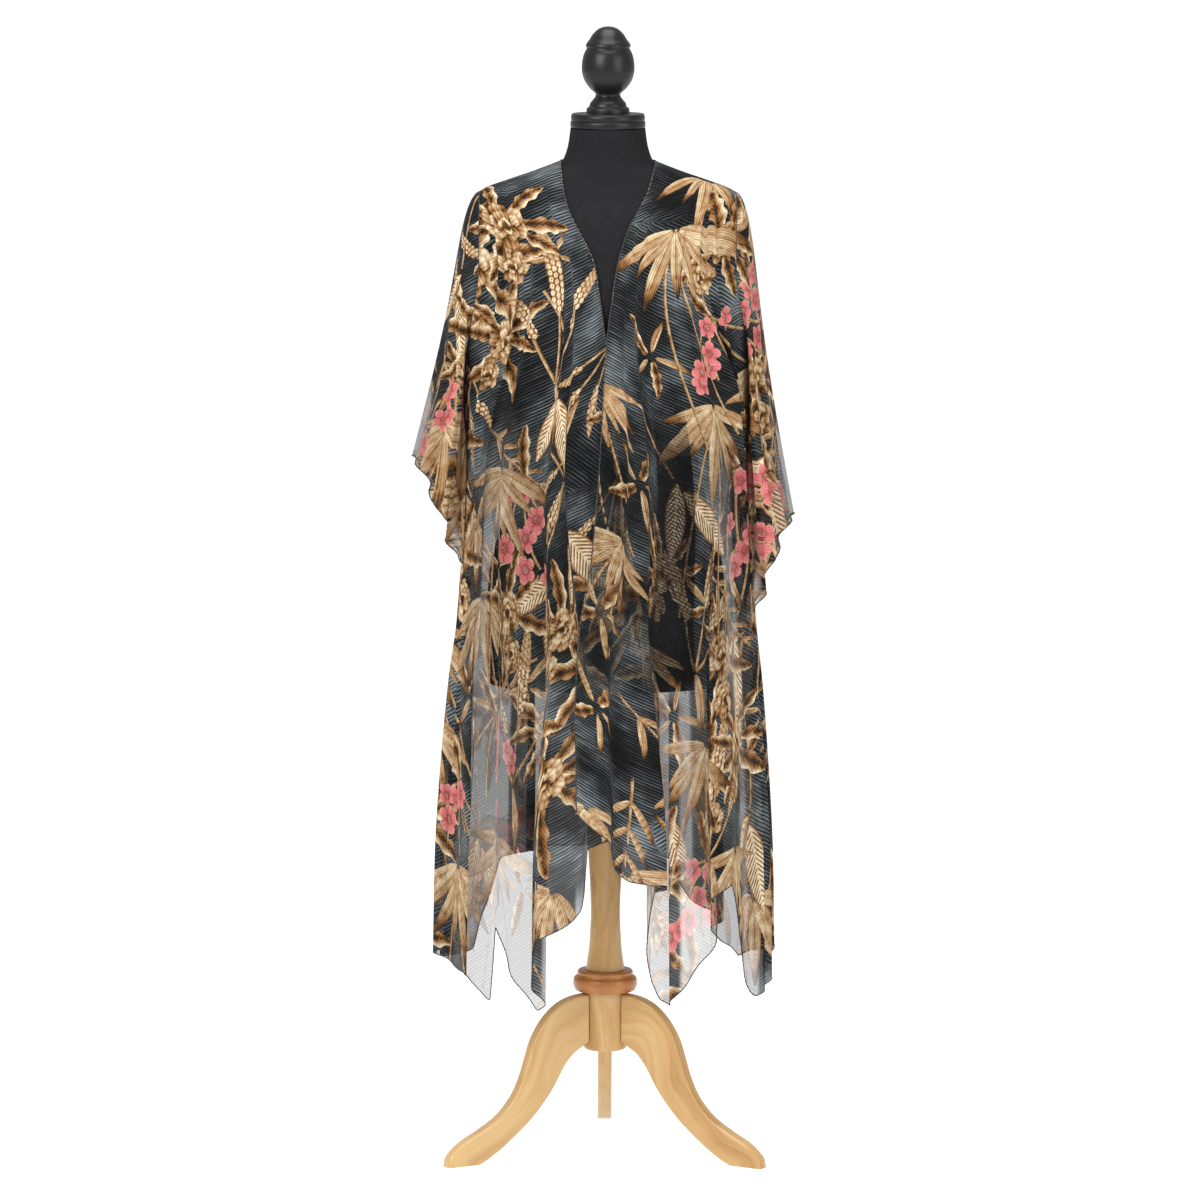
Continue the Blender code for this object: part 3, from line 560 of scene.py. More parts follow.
# The print, in a mill's own way of working: single motifs, each drawn once as a
# shape, are strewn over the cut. A motif gives for a place on it how far inside
# its outline that is, the phase of its fine lines, its tone and its lines' depth.
def blade(x, y, size, bend):
    """A narrow leaf with fine streaks along it; those that bend one way have brown tips."""
    u = np.clip(x / size, 0.0, 1.0)
    y = y - bend * size * u * u
    half = size * 0.088 * u ** 0.55 * (1 - u) ** 0.75 / 0.412
    inside = half - np.abs(y) - np.where((x < 0) | (x > size), 0.01, 0)
    tip = smooth_step(0.55, 0.95, u) * (0.36 if bend > 0 else 0.10)
    tone = 0.60 + 0.09 * y / np.maximum(half, 0.002) - tip + 0.06 * smooth_step(0.5, 0.0, u)
    tone = (tone - 0.16 * smooth_step(0.0016, 0.0, inside)
            - 0.20 * smooth_step(0.0020, 0.0, np.abs(y)) * (u < 0.7))
    return inside, y * 1900.0, tone, np.full_like(x, 0.16)


def veined(x, y, size, bend):
    u = np.clip(x / size, 0.0, 1.0)
    y = y - bend * size * u * u
    half = size * 0.155 * np.sin(math.pi * u ** 0.9) ** 0.75
    inside = half - np.abs(y) - np.where((x < 0) | (x > size), 0.01, 0)
    rib = smooth_step(0.0022, 0.0008, np.abs(y))
    tone = 0.74 - 0.46 * smooth_step(0.0042, 0.0012, inside) * (1 - rib)
    depth = 0.50 * (1 - rib) * smooth_step(0.002, 0.005, inside)
    return inside, (x * 0.75 - np.abs(y)) * 2 * math.pi / 0.0062, tone, depth


def lobed(x, y, size, bend):
    """A curling leaf, brown along its rib and cream towards its soft lobes."""
    u = np.clip(x / size, 0.0, 1.0)
    y = y - bend * size * 1.6 * u * u
    lobes = 1.0 + 0.17 * np.sin(u * 20.0 + 1.6 * (y > 0)) * smooth_step(1.0, 0.8, u)
    half = size * 0.20 * (u + 0.02) ** 0.55 * (1 - u) ** 0.65 / 0.62 * lobes
    inside = half - np.abs(y) - np.where((x < 0) | (x > size), 0.01, 0)
    share = np.abs(y) / np.maximum(half, 0.002)
    tone = np.where(y > 0, 0.35, 0.18) + np.where(y > 0, 0.38, 0.26) * smooth_step(0.10, 0.85, share)
    tone = tone + 0.08 * np.sin(u * 20.0)
    return inside, (np.abs(y) * 0.8 - x * 0.5) * 1500.0, np.clip(tone, 0.08, 0.77), np.full_like(x, 0.12)


def blossom(x, y, size, bend):
    r, angle = np.hypot(x, y), np.arctan2(y, x) + bend * 3
    petal = np.abs(np.cos(2.5 * angle))
    inside = (size / 2 * (0.55 + 0.45 * petal ** 0.55) - r) * 0.8
    eye = smooth_step(0.24, 0.12, r / size)
    tone = 0.955 + 0.05 * smooth_step(0.3, 0.5, r / size) - 0.10 * eye - 0.08 * smooth_step(0.40, 0.0, petal)
    return inside, angle * 20.0, np.clip(tone, 0.850, 1.0), np.full_like(x, 0.045)


# columns: petals, then in flower radii how far out, length, width, and how much lighter
ROSE_RINGS = [(6, 0.58, 0.46, 0.44, 0.0), (5, 0.32, 0.38, 0.34, 0.08), (3, 0.10, 0.24, 0.20, 0.16)]


def rose(x, y, size, bend):
    """A full blown flower: rings of cupped petals, brown within and cream at the rim."""
    radius = size / 2
    inside, tone, phase = np.full_like(x, -0.01), np.full_like(x, 0.3), np.zeros_like(x)
    for count, away, long, wide, lift in ROSE_RINGS:
        for k in range(count):
            angle = (2 * math.pi * (k + 0.22 * math.sin(k * 5.0 + bend * 9.0)) / count
                     + bend * 8.0 + away * 3.0)
            px, py = x - away * radius * math.cos(angle), y - away * radius * math.sin(angle)
            out = (px * math.cos(angle) + py * math.sin(angle)) / (long * radius)
            along = (py * math.cos(angle) - px * math.sin(angle)) / (wide * radius)
            over = 1.0 - np.hypot(out, along) - 0.06 * np.sin(along * 7.0 + k)
            shade = 0.22 + lift + 0.44 * smooth_step(-0.5, 0.9, out) - 0.28 * smooth_step(0.20, 0.0, over)
            shade = shade + 0.08 * math.sin(k * 2.4 + bend * 5.0)
            tone = np.where(over > 0, shade, tone)
            phase = np.where(over > 0, along * 13.0, phase)
            inside = np.maximum(inside, over * wide * radius)
    tone = tone - 0.24 * smooth_step(0.13, 0.05, np.hypot(x, y) / size)
    return inside, phase, np.clip(tone, 0.06, 0.77), np.full_like(x, 0.14)


def spike(x, y, size, bend):
    """A seed head: plump cream beads with dark rings below, a fine tan tip above."""
    u = np.clip(x / size, 0.0, 1.0)
    y = y - bend * size * u * u
    cell = 0.0095
    half = size * 0.098 * np.sin(math.pi * (0.10 + 0.88 * u)) ** 0.7 + 0.0010 * np.cos(2 * math.pi * x / cell)
    inside = half - np.abs(y) - np.where((x < 0) | (x > size), 0.01, 0)
    row = np.round(y / (cell * 0.8))
    r = np.hypot(np.mod(x / cell + 0.5 * row, 1.0) - 0.5, y / (cell * 0.8) - row)
    low = smooth_step(0.62, 0.45, u)
    ring, hollow = smooth_step(0.34, 0.52, r), smooth_step(0.17, 0.05, r)
    tone = 0.60 + 0.14 * low - (0.16 + 0.34 * low) * ring - 0.42 * low * hollow
    return inside, x * 700.0 + y * 500.0, tone, 0.16 * (1.0 - low)


def stem(x, y, size, bend):
    u = np.clip(x / size, 0.0, 1.0)
    y = y - bend * size * 4 * u * (1 - u)
    inside = 0.0027 - np.abs(y) - np.where((x < 0) | (x > size), 0.01, 0)
    return inside, x * 300.0, 0.56 - 0.20 * (y > 0.0006), np.full_like(x, 0.08)


MOTIFS = {"blade": blade, "veined": veined, "lobed": lobed, "blossom": blossom,
          "rose": rose, "spike": spike, "stem": stem}


def at(s, t, turn, distance):
    return s + distance * math.cos(math.radians(turn)), t + distance * math.sin(math.radians(turn))


def cane(s, t, turn, size, chance):
    """A long cane with a spray of narrow leaves that droops from its top."""
    motifs = []
    for k in range(8):
        fan = turn + (k - 3.5) * 21 + chance.uniform(-5, 5)
        away = at(s, t, fan, size * 0.03)
        motifs.append(("blade", *away, fan, size * chance.uniform(0.62, 1.0), chance.uniform(-0.16, 0.16)))
    chance.shuffle(motifs)
    for k in (0, 1):
        motifs.append(("stem", s, t, turn + 12 - 20 * k + chance.uniform(-4, 4), size * 2.1, 0.05))
    return motifs


def leaf_pair(s, t, turn, size, chance):
    motifs = [("veined", *at(s, t, turn, size * 0.15), turn - 14, size, chance.uniform(-0.10, 0.1))]
    motifs.append(("veined", *at(s, t, turn, size * 0.05), turn + 42, size * 0.8, chance.uniform(-0.1, 0.1)))
    motifs.append(("stem", s, t, turn + 172, size * 1.1, 0.06))
    return motifs


def posy(s, t, turn, size, chance):
    """A loose cluster of small five-petalled flowers on wiry stems."""
    motifs = []
    for k in range(7):
        place = at(s, t, turn + chance.uniform(-60, 60), size * (0.15 + 0.85 * k / 6))
        motifs.append(("blossom", *place, 0.0, size * chance.uniform(0.24, 0.32), chance.uniform(-0.5, 0.5)))
    for k in range(5):
        motifs.append(("stem", s, t, turn + (k - 2) * 26, size * chance.uniform(0.7, 1.0), 0.08))
    motifs.append(("lobed", s, t, turn + 150, size * 0.5, 0.1))
    return motifs


def rose_bunch(s, t, turn, size, chance):
    motifs = [("rose", s, t, turn, size * 0.56, chance.uniform(0, 1))]
    motifs.append(("rose", *at(s, t, turn + 20, size * 0.50), turn, size * 0.44, chance.uniform(0, 1)))
    for k in range(7):
        fan = turn + 40 + k * 46 + chance.uniform(-10, 10)
        long, bend = size * chance.uniform(0.55, 0.8), chance.uniform(-0.15, 0.15)
        motifs.append(("lobed", *at(s, t, fan, size * 0.2), fan, long, bend))
    return motifs


def seed_heads(s, t, turn, size, chance):
    motifs = []
    for k in (-1, 0, 1):
        motifs.append(("spike", *at(s, t, turn + k * 26, size * (0.55 - 0.12 * abs(k))), turn + k * 34,
                       size * (0.72 - 0.10 * abs(k)), 0.12 * k))
        motifs.append(("stem", s, t, turn + k * 26, size * 0.62, 0.04 * k))
    motifs.append(("blade", s, t, turn + 150, size * 0.55, 0.2))
    return motifs


def whorl(s, t, turn, size, chance):
    motifs = []
    for k in range(5):
        fan = turn + k * 72 + chance.uniform(-12, 12)
        kind = "lobed" if k % 2 else "blade"
        motifs.append((kind, *at(s, t, fan, size * 0.06), fan, size * chance.uniform(0.45, 0.7), 0.12))
    return motifs


def sprig(s, t, turn, size, chance):
    """A straight stem with small leaves set on it in pairs."""
    motifs = []
    for k in range(5):
        place = at(s, t, turn, size * (0.25 + 0.27 * k))
        for lean in (-40, 40):
            motifs.append(
                ("blade", *place, turn + lean + chance.uniform(-8, 8), size * (0.46 - 0.04 * k), 0.10))
    motifs.append(("stem", s, t, turn, size * 1.5, 0.0))
    return motifs


PLANTS = {"cane": cane, "leaf_pair": leaf_pair, "posy": posy, "rose_bunch": rose_bunch,
          "seed_heads": seed_heads, "whorl": whorl, "sprig": sprig}


FILL_APART, FILL_TRIES = 0.094, 2600


def fill_in(across, down, plants, seed):
    """More plants, strewn where those of the table leave the cut bare."""
    chance = random.Random(seed)
    kinds = ("rose_bunch", "cane", "leaf_pair", "seed_heads", "whorl", "rose_bunch", "sprig", "cane")
    found = list(plants)
    low_s, high_s, low_t, high_t = across.min(), across.max(), down.min(), down.max()
    for _ in range(FILL_TRIES):
        s, t = chance.uniform(low_s, high_s), chance.uniform(low_t, high_t)
        kind = chance.choice(kinds)
        nearest = min(math.hypot(s - plant[1], (t - plant[2]) * 0.9) for plant in found)
        if nearest < FILL_APART or (t < 0.34 and abs(s) < 0.10):
            continue
        if np.hypot(across - s, down - t).min() < 0.02:
            found.append((kind, s, t, chance.uniform(50, 130), chance.uniform(0.112, 0.150)))
    return found


def printed(across, down, plants, seed):
    """Three layers of motif values for the corners of every face, the uppermost first."""
    chance = random.Random(seed)
    shape = (across.shape[0] - 1, across.shape[1] - 1, 4)
    layers = [np.zeros((*shape, 4)) for _ in range(3)]
    for layer in layers:
        layer[..., 0] = -0.01
    filled = np.zeros(shape[:2], dtype=int)
    for plant, s, t, turn, size in plants:
        for kind, ms, mt, mturn, msize, bend in PLANTS[plant](s, t, turn, size, chance):
            near = np.hypot(across - ms, down - mt) < msize * 1.12
            if not near.any():
                continue
            rows, columns = np.nonzero(near)
            r0, r1 = max(rows.min() - 1, 0), min(rows.max() + 2, across.shape[0])
            c0, c1 = max(columns.min() - 1, 0), min(columns.max() + 2, across.shape[1])
            ds, dt = across[r0:r1, c0:c1] - ms, down[r0:r1, c0:c1] - mt
            cos, sin = math.cos(math.radians(mturn)), math.sin(math.radians(mturn))
            values = np.stack(MOTIFS[kind](ds * cos + dt * sin, dt * cos - ds * sin, msize, bend), axis=-1)
            corners = np.stack([values[:-1, :-1], values[:-1, 1:], values[1:, 1:], values[1:, :-1]], axis=2)
            covers = corners[..., 0].max(axis=2) > -0.0006
            whole = corners[..., 0].min(axis=2) > 0.0008
            here = filled[r0:r1 - 1, c0:c1 - 1]
            for k in range(3):
                target = covers & (here == k)
                layers[k][r0:r1 - 1, c0:c1 - 1][target] = corners[target]
            here[covers] += 1
            here[whole] = 9
    return layers


# Ground and ink: charcoal and slate lines brushed close together at a slant, with the
# motifs over them. Where the voile lies doubled in its pleats it looks opaque.
voile, shader, cloth = new_finish("printed_voile", 0.66, Specular_IOR_Level=0.06)
flat = cloth.attribute("flat")
grit = cloth.noise(flat, 260.0, 2.0) - 0.5
drift = cloth.noise(flat, 5.5, 1.0)
side_way = ((drift - 0.5) * 60.0 + flat.part(2) * 7.0).clamped()
slant = flat.part(0) * (side_way * 0.84 - 0.42) + flat.part(1) * 0.91
brush = cloth.noise(cloth.vector(flat.part(0) * 22.0, slant * 600.0, 0.0), 1.0, 2.0)
hatch = cloth.maths("SINE", slant * 1330.0 + brush * 5.0) * 0.5 + 0.5
cloudy = cloth.noise(flat, 8.0, 3.0)
shade = hatch * 0.25 + brush * 0.50 + (cloudy - 0.5) * 1.10
ground = shade.ramp([
    (0.20, (0.003, 0.003, 0.003)), (0.33, (0.011, 0.012, 0.012)), (0.44, (0.028, 0.032, 0.034)),
    (0.55, (0.088, 0.102, 0.107)), (0.74, (0.270, 0.300, 0.310)),
])
tone, ink = None, None
for name in ("motif_low", "motif_mid", "motif_top"):
    motif = cloth.attribute(name)
    depth = cloth.attribute(name + "_lines", "Fac")
    lines = cloth.maths("SINE", motif.part(1) + grit * 3.0) * 0.5 + 0.5
    layer_tone = motif.part(2) - depth * lines * lines
    mask = (motif.part(0) * 1600.0 + grit * 0.9).clamped()
    tone = layer_tone if tone is None else tone + (layer_tone - tone) * mask
    ink = mask if ink is None else ink.maths("MAXIMUM", ink, mask)
coral = ((tone - 0.80) * 40.0).clamped()
painted = (cloth.noise(flat, 62.0, 3.0) - 0.5) * 0.42 + grit * 0.12
tone = tone.maths("MINIMUM", tone + painted * (1.0 - coral * 0.88), coral * 0.25 + 0.79)
tone = tone.maths("MAXIMUM", tone, coral * 0.85)
colours = tone.ramp([
    (0.02, (0.010, 0.007, 0.005)), (0.14, (0.032, 0.016, 0.007)), (0.26, (0.095, 0.041, 0.012)),
    (0.36, (0.225, 0.100, 0.030)), (0.46, (0.300, 0.178, 0.086)), (0.56, (0.392, 0.274, 0.154)),
    (0.67, (0.545, 0.425, 0.270)), (0.79, (0.730, 0.630, 0.450)), (0.845, (0.190, 0.026, 0.026)),
    (0.90, (0.430, 0.090, 0.092)), (1.0, (0.640, 0.235, 0.215)),
])
link(shader, "Base Color", cloth.blend(ink, ground, colours))
# closeness is the real sheerness of the voile, and in one valley of the left front also painted shade: the
# cloth is made nearly clear there so the black form shows through dark
density = cloth.attribute("closeness", "Fac")
link(shader, "Alpha", (density + (1.0 - density) * (ink * density * 0.6 + (hatch - 0.5) * -0.20)).clamped())
weave = cloth.maths("SINE", flat.part(0) * 7800.0) + cloth.maths("SINE", flat.part(1) * 7800.0)
crinkle = cloth.noise(cloth.vector(flat.part(0) * 120.0, flat.part(1) * 34.0, 0.0), 1.0, 3.0)
bumped(shader, crinkle + weave * 0.03, 0.30, 0.0022)


def density_of(place, height, zones):
    """How closed the cloth looks: sheer where it hangs in a single layer, and in one zone nearly clear as
    painted shade, the black form showing through.
    """
    density = np.full(place.shape, 0.94)
    for first, last, top, bottom, sheer in zones:
        within = (smooth_step(first - 0.004, first + 0.004, place)
                  * smooth_step(last + 0.004, last - 0.004, place))
        density += (sheer - density) * within * smooth_step(top, bottom, height)
    return density


def cloth_piece(name, node, grid, across, down, density, layers, slant, parted=None):
    """One cut piece of voile with its print and its density on it."""
    flat = np.stack([across, down, np.full_like(across, slant)], axis=-1)
    piece = skin(name, grid, False, voile, "printed_voile", node, {"flat": flat}, 0, parted)
    mesh = piece.data
    mesh.attributes.new("closeness", "FLOAT", "POINT").data.foreach_set(
        "value", density.astype(np.float32).ravel())
    for key, layer in zip(("motif_top", "motif_mid", "motif_low"), layers):
        if parted is not None:
            layer = np.delete(layer, parted, axis=1)
        values = layer.reshape(-1, 4).astype(np.float32)
        made = mesh.attributes.new(key, "FLOAT_VECTOR", "CORNER")
        made.data.foreach_set("vector", np.ascontiguousarray(values[:, :3]).ravel())
        made = mesh.attributes.new(key + "_lines", "FLOAT", "CORNER")
        made.data.foreach_set("value", np.ascontiguousarray(values[:, 3]))
    return piece


# The rolled edges: every free edge is rolled to a cord under two millimetres thick
# and whipped over with dark thread that shows brown and cream in places.
HEM_RADIUS, SEAM_RADIUS = 0.0008, 0.0007


def roll(name, paths, radius, finish, sides=6, spacing=0.005):
    """Round cords along paths, as one mesh with closed ends."""
    points, faces = [], []
    for path in paths:
        run = np.concatenate([[0.0], np.cumsum(np.linalg.norm(np.diff(path, axis=0), axis=1))])
        keep = np.concatenate([[True], np.diff(run) > 1e-7])
        count = max(4, int(run[-1] / spacing))
        marks = np.linspace(0.0, run[-1], count)
        line = np.column_stack([np.interp(marks, run[keep], path[keep, k]) for k in range(3)])
        ahead = np.gradient(line, axis=0)
        ahead /= np.linalg.norm(ahead, axis=1, keepdims=True)
        first = np.cross(ahead[0], (0.31, 0.52, 0.79))
        start = len(points)
        for place_on, way in zip(line, ahead):
            first = first - way * np.dot(first, way)
            first /= np.linalg.norm(first)
            second = np.cross(way, first)
            for k in range(sides):
                a = 2 * math.pi * k / sides
                points.append(place_on + radius * (first * math.cos(a) + second * math.sin(a)))
        for r in range(count - 1):
            for k in range(sides):
                a, b = start + r * sides + k, start + r * sides + (k + 1) % sides
                faces.append((a, b, b + sides, a + sides))
        faces.append(tuple(start + k for k in reversed(range(sides))))
        faces.append(tuple(start + (count - 1) * sides + k for k in range(sides)))
    mesh = bpy.data.meshes.new(name)
    mesh.from_pydata([tuple(p) for p in points], [], faces)
    mesh.shade_smooth()
    mesh.materials.append(finish)
    piece = bpy.data.objects.new(name, mesh)
    bpy.context.scene.collection.objects.link(piece)
    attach(piece, "root")
    return piece


rolled, shader, cloth = new_finish("rolled_voile_edge", 0.7)
place = cloth.node("ShaderNodeTexCoord", None, None, 3)
turns = cloth.noise(place, 420.0, 2.0)
link(shader, "Base Color", turns.ramp([(0.35, (0.010, 0.010, 0.012)), (0.58, (0.030, 0.032, 0.038)),
                                       (0.66, (0.16, 0.09, 0.045)), (0.74, (0.42, 0.32, 0.20))]))
bumped(shader, turns, 0.5, 0.0008)

# The stitches: loops of twisted thread whipped over the rolled edges at a slant, dark
# like the ground for the most part and cream or brown where the print runs off.
thread, shader, twist = new_finish("whipping_thread", 0.75)
place = twist.node("ShaderNodeTexCoord", None, None, 3)
link(shader, "Base Color", twist.noise(place, 14.0, 1.0).ramp([
    (0.44, (0.012, 0.012, 0.014)), (0.50, (0.150, 0.075, 0.030)), (0.57, (0.520, 0.420, 0.280))]))
bumped(shader, twist.noise(place, 1800.0, 1.0), 0.3, 0.0002)

whip = bpy.data.node_groups.new("whipped_stitches", "GeometryNodeTree")
whip.interface.new_socket("Geometry", in_out="INPUT", socket_type="NodeSocketGeometry")
whip_inputs = {}
for label, kind in (("Spacing", "Float"), ("Loop Radius", "Float"), ("Thread Radius", "Float"),
                    ("Slant", "Float"), ("Seed", "Int"), ("Thread", "Material")):
    socket = whip.interface.new_socket(label, in_out="INPUT", socket_type="NodeSocket" + kind)
    whip_inputs[label] = socket.identifier
whip.interface.new_socket("Geometry", in_out="OUTPUT", socket_type="NodeSocketGeometry")
flow = Strand(whip)
given = {label: flow.node("NodeGroupInput", None, None, label) for label in ("Geometry", *whip_inputs)}
path = flow.node("GeometryNodeMeshToCurve", None, {"Mesh": given["Geometry"]})
path = flow.node("GeometryNodeResampleCurve", {"mode": "LENGTH"}, {"Curve": path, "Length": given["Spacing"]})
loop = flow.node("GeometryNodeCurvePrimitiveCircle", None, {"Resolution": 7, "Radius": given["Loop Radius"]})
strand = flow.node(
    "GeometryNodeCurvePrimitiveCircle", None, {"Resolution": 3, "Radius": given["Thread Radius"]})
loop = flow.node("GeometryNodeCurveToMesh", None, {"Curve": loop, "Profile Curve": strand})
tangent = flow.node("GeometryNodeInputTangent")
along = flow.node("FunctionNodeAlignRotationToVector", {"axis": "Z"}, {"Vector": tangent})
uneven = flow.node("FunctionNodeRandomValue", {"data_type": "FLOAT"}, {2: 0.7, 3: 1.3, 8: given["Seed"]}, 1)
lean = flow.node("FunctionNodeEulerToRotation", None, {0: flow.vector(given["Slant"] * uneven, 0.0, 0.0)})
turned_way = flow.node("FunctionNodeRotateRotation", {"rotation_space": "LOCAL"}, {0: along, 1: lean})
loops = flow.node(
    "GeometryNodeInstanceOnPoints", None, {"Points": path, "Instance": loop, "Rotation": turned_way})
loops = flow.node("GeometryNodeRealizeInstances", None, {0: loops})
loops = flow.node("GeometryNodeSetMaterial", None, {"Geometry": loops, "Material": given["Thread"]})
whip.links.new(loops.socket, whip.nodes.new("NodeGroupOutput").inputs[0])


def whipped(name, paths, seed):
    """Stitches over the rolled edges that run along these paths."""
    points = [tuple(p) for path in paths for p in path]
    starts = np.cumsum([0] + [len(path) for path in paths])
    edges = [(k, k + 1) for k in range(len(points) - 1) if k + 1 not in starts]
    lines = bpy.data.meshes.new(name + "_path")
    lines.from_pydata(points, edges, [])
    piece = bpy.data.objects.new(name, lines)
    bpy.context.scene.collection.objects.link(piece)
    modifier = piece.modifiers.new("whip", "NODES")
    modifier.node_group = whip
    for label, value in (("Spacing", 0.008), ("Loop Radius", 0.00105), ("Thread Radius", 0.00026),
                         ("Slant", 0.6), ("Seed", seed), ("Thread", thread)):
        modifier[whip_inputs[label]] = value
    graph = bpy.context.evaluated_depsgraph_get()
    made = bpy.data.meshes.new_from_object(piece.evaluated_get(graph), depsgraph=graph)
    piece.modifiers.remove(modifier)
    piece.data = made
    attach(piece, "root")
    return piece


# The wearer's right front: cut in one with its neck edge, it lies under the left one
# and ends in handkerchief points. Its pleats hang from the bust to the hem.
# columns: x and height of the hem's corners
HEM_RIGHT_FRONT = [
    (0.074, 0.538), (0.044, 0.490), (0.008, 0.469), (-0.026, 0.455), (-0.031, 0.375), (-0.046, 0.352),
    (-0.060, 0.328), (-0.065, 0.262), (-0.078, 0.238), (-0.095, 0.227), (-0.125, 0.284), (-0.155, 0.343),
    (-0.163, 0.239), (-0.195, 0.268), (-0.2285, 0.300),
]
# columns: place (0 front edge, 1 side seam), half width, depth, lean, start, full
FOLDS_RIGHT_FRONT = [
    (0.274, 0.024, 0.016, 0.035, 1.100, 0.420), (0.420, 0.034, 0.012, 0.006, 1.050, 0.400),
    (0.545, 0.028, 0.014, -0.012, 1.180, 0.450), (0.690, 0.022, 0.010, -0.016, 1.340, 1.120),
    (0.740, 0.026, 0.018, -0.038, 1.050, 0.450), (0.880, 0.030, 0.016, 0.012, 1.000, 0.420),
]
# columns: place at the top, drift to the bottom, half width, depth, top, bottom
CREASES_RIGHT_FRONT = [
    (0.830, -0.10, 0.018, 0.0090, 1.360, 0.900), (0.760, -0.14, 0.014, 0.0060, 1.350, 1.020),
    (0.620, -0.10, 0.018, 0.0034, 1.370, 0.950), (0.480, 0.06, 0.020, 0.0028, 1.250, 0.700),
    (0.340, 0.05, 0.016, 0.0026, 1.180, 0.560), (0.200, 0.03, 0.014, 0.0026, 1.150, 0.500),
    (0.100, 0.02, 0.012, 0.0022, 1.200, 0.560), (0.640, 0.04, 0.012, 0.0040, 0.950, 0.300),
    (0.360, 0.02, 0.010, 0.0036, 0.880, 0.300), (0.480, -0.02, 0.010, 0.0036, 0.800, 0.260),
    (0.810, 0.02, 0.010, 0.0040, 0.900, 0.300), (0.940, -0.02, 0.010, 0.0034, 0.940, 0.300),
]
# columns: first and last place, height where it starts, height where it is full, density
SHEER_RIGHT_FRONT = [
    (0.000, 0.800, 1.080, 0.960, 0.56), (0.000, 0.800, 0.700, 0.666, 0.94),
    (0.298, 0.712, 1.100, 0.960, 0.48), (0.000, 0.070, 0.860, 0.760, 0.60),
    (0.835, 0.862, 0.620, 0.480, 0.55), (0.205, 0.226, 0.420, 0.340, 0.45),
]
# columns: plant, across, down, direction in degrees (0 right, 90 down), size
PLANTS_RIGHT_FRONT = [
    ("rose_bunch", -0.125, 0.075, 80, 0.120), ("seed_heads", -0.035, 0.300, -100, 0.185),
    ("whorl", -0.060, 0.120, 20, 0.090), ("rose_bunch", -0.165, 0.240, 100, 0.110),
    ("cane", -0.115, 0.420, 95, 0.150), ("posy", -0.055, 0.430, 100, 0.150),
    ("leaf_pair", -0.010, 0.300, 70, 0.135), ("sprig", -0.170, 0.360, 30, 0.120),
    ("rose_bunch", -0.090, 0.620, 60, 0.115), ("cane", -0.190, 0.600, 85, 0.150),
    ("leaf_pair", 0.020, 0.560, 110, 0.140), ("posy", -0.170, 0.760, 80, 0.140),
    ("seed_heads", -0.060, 0.860, -85, 0.180), ("whorl", -0.240, 0.740, 0, 0.120),
    ("cane", -0.130, 0.930, 100, 0.160), ("rose_bunch", 0.010, 0.780, 40, 0.110),
    ("leaf_pair", -0.230, 0.930, 70, 0.140), ("whorl", -0.020, 1.000, 30, 0.120),
    ("posy", -0.300, 0.860, 95, 0.140), ("sprig", -0.020, 0.680, 160, 0.130),
    ("cane", -0.320, 0.980, 90, 0.150), ("whorl", -0.140, 1.080, 10, 0.110),
    ("leaf_pair", -0.060, 1.120, 80, 0.130), ("rose_bunch", 0.080, 0.640, 90, 0.110),
    ("whorl", -0.130, 0.560, 60, 0.100), ("whorl", -0.040, 0.720, 15, 0.110),
]
FRONT_COLUMNS, FRONT_ROWS = 234, 424
grid, place = front_grid(
    -1.0, 1, HEM_RIGHT_FRONT, FOLDS_RIGHT_FRONT, CREASES_RIGHT_FRONT, False, FRONT_COLUMNS, FRONT_ROWS)
across, down = flat_cut(grid, np.argmin(np.abs(place - 0.5)))
across = -0.09 - across
density = density_of(np.broadcast_to(place, across.shape), grid[:, :, 2], SHEER_RIGHT_FRONT)
layers = printed(across, down, fill_in(across, down, PLANTS_RIGHT_FRONT, 5), 11)
front_right = cloth_piece("coat_front_right", "front_right", grid, across, down, density, layers, 1.0)
right_edges = {"side": grid[:, -1], "shoulder": grid[0]}
free_edges = [grid[:, 0], grid[-1]]
edging = [roll("hem_front_right", free_edges, HEM_RADIUS, rolled),
          whipped("stitches_front_right", free_edges, 1)]

# The wearer's left front: the same cut turned over, lying on top. Its lower corner
# swings back from the middle and its pleats fall towards the side seam.
HEM_LEFT_FRONT = [
    (-0.040, 0.507), (-0.030, 0.496), (0.006, 0.469), (0.011, 0.430), (0.022, 0.412), (0.045, 0.398),
    (0.051, 0.326), (0.063, 0.272), (0.074, 0.246), (0.091, 0.237), (0.102, 0.248), (0.149, 0.341),
    (0.180, 0.400), (0.187, 0.330), (0.195, 0.262), (0.203, 0.236), (0.214, 0.256), (0.2285, 0.340),
]
FOLDS_LEFT_FRONT = [
    (0.150, 0.024, 0.016, 0.042, 1.150, 0.420), (0.310, 0.020, 0.010, -0.014, 0.760, 0.420),
    (0.430, 0.034, 0.012, 0.008, 1.020, 0.400), (0.560, 0.025, 0.018, -0.042, 1.200, 0.480),
    (0.715, 0.022, 0.010, 0.016, 1.330, 1.080), (0.770, 0.030, 0.014, 0.018, 0.960, 0.420),
    (0.890, 0.030, 0.016, -0.012, 0.980, 0.420),
]
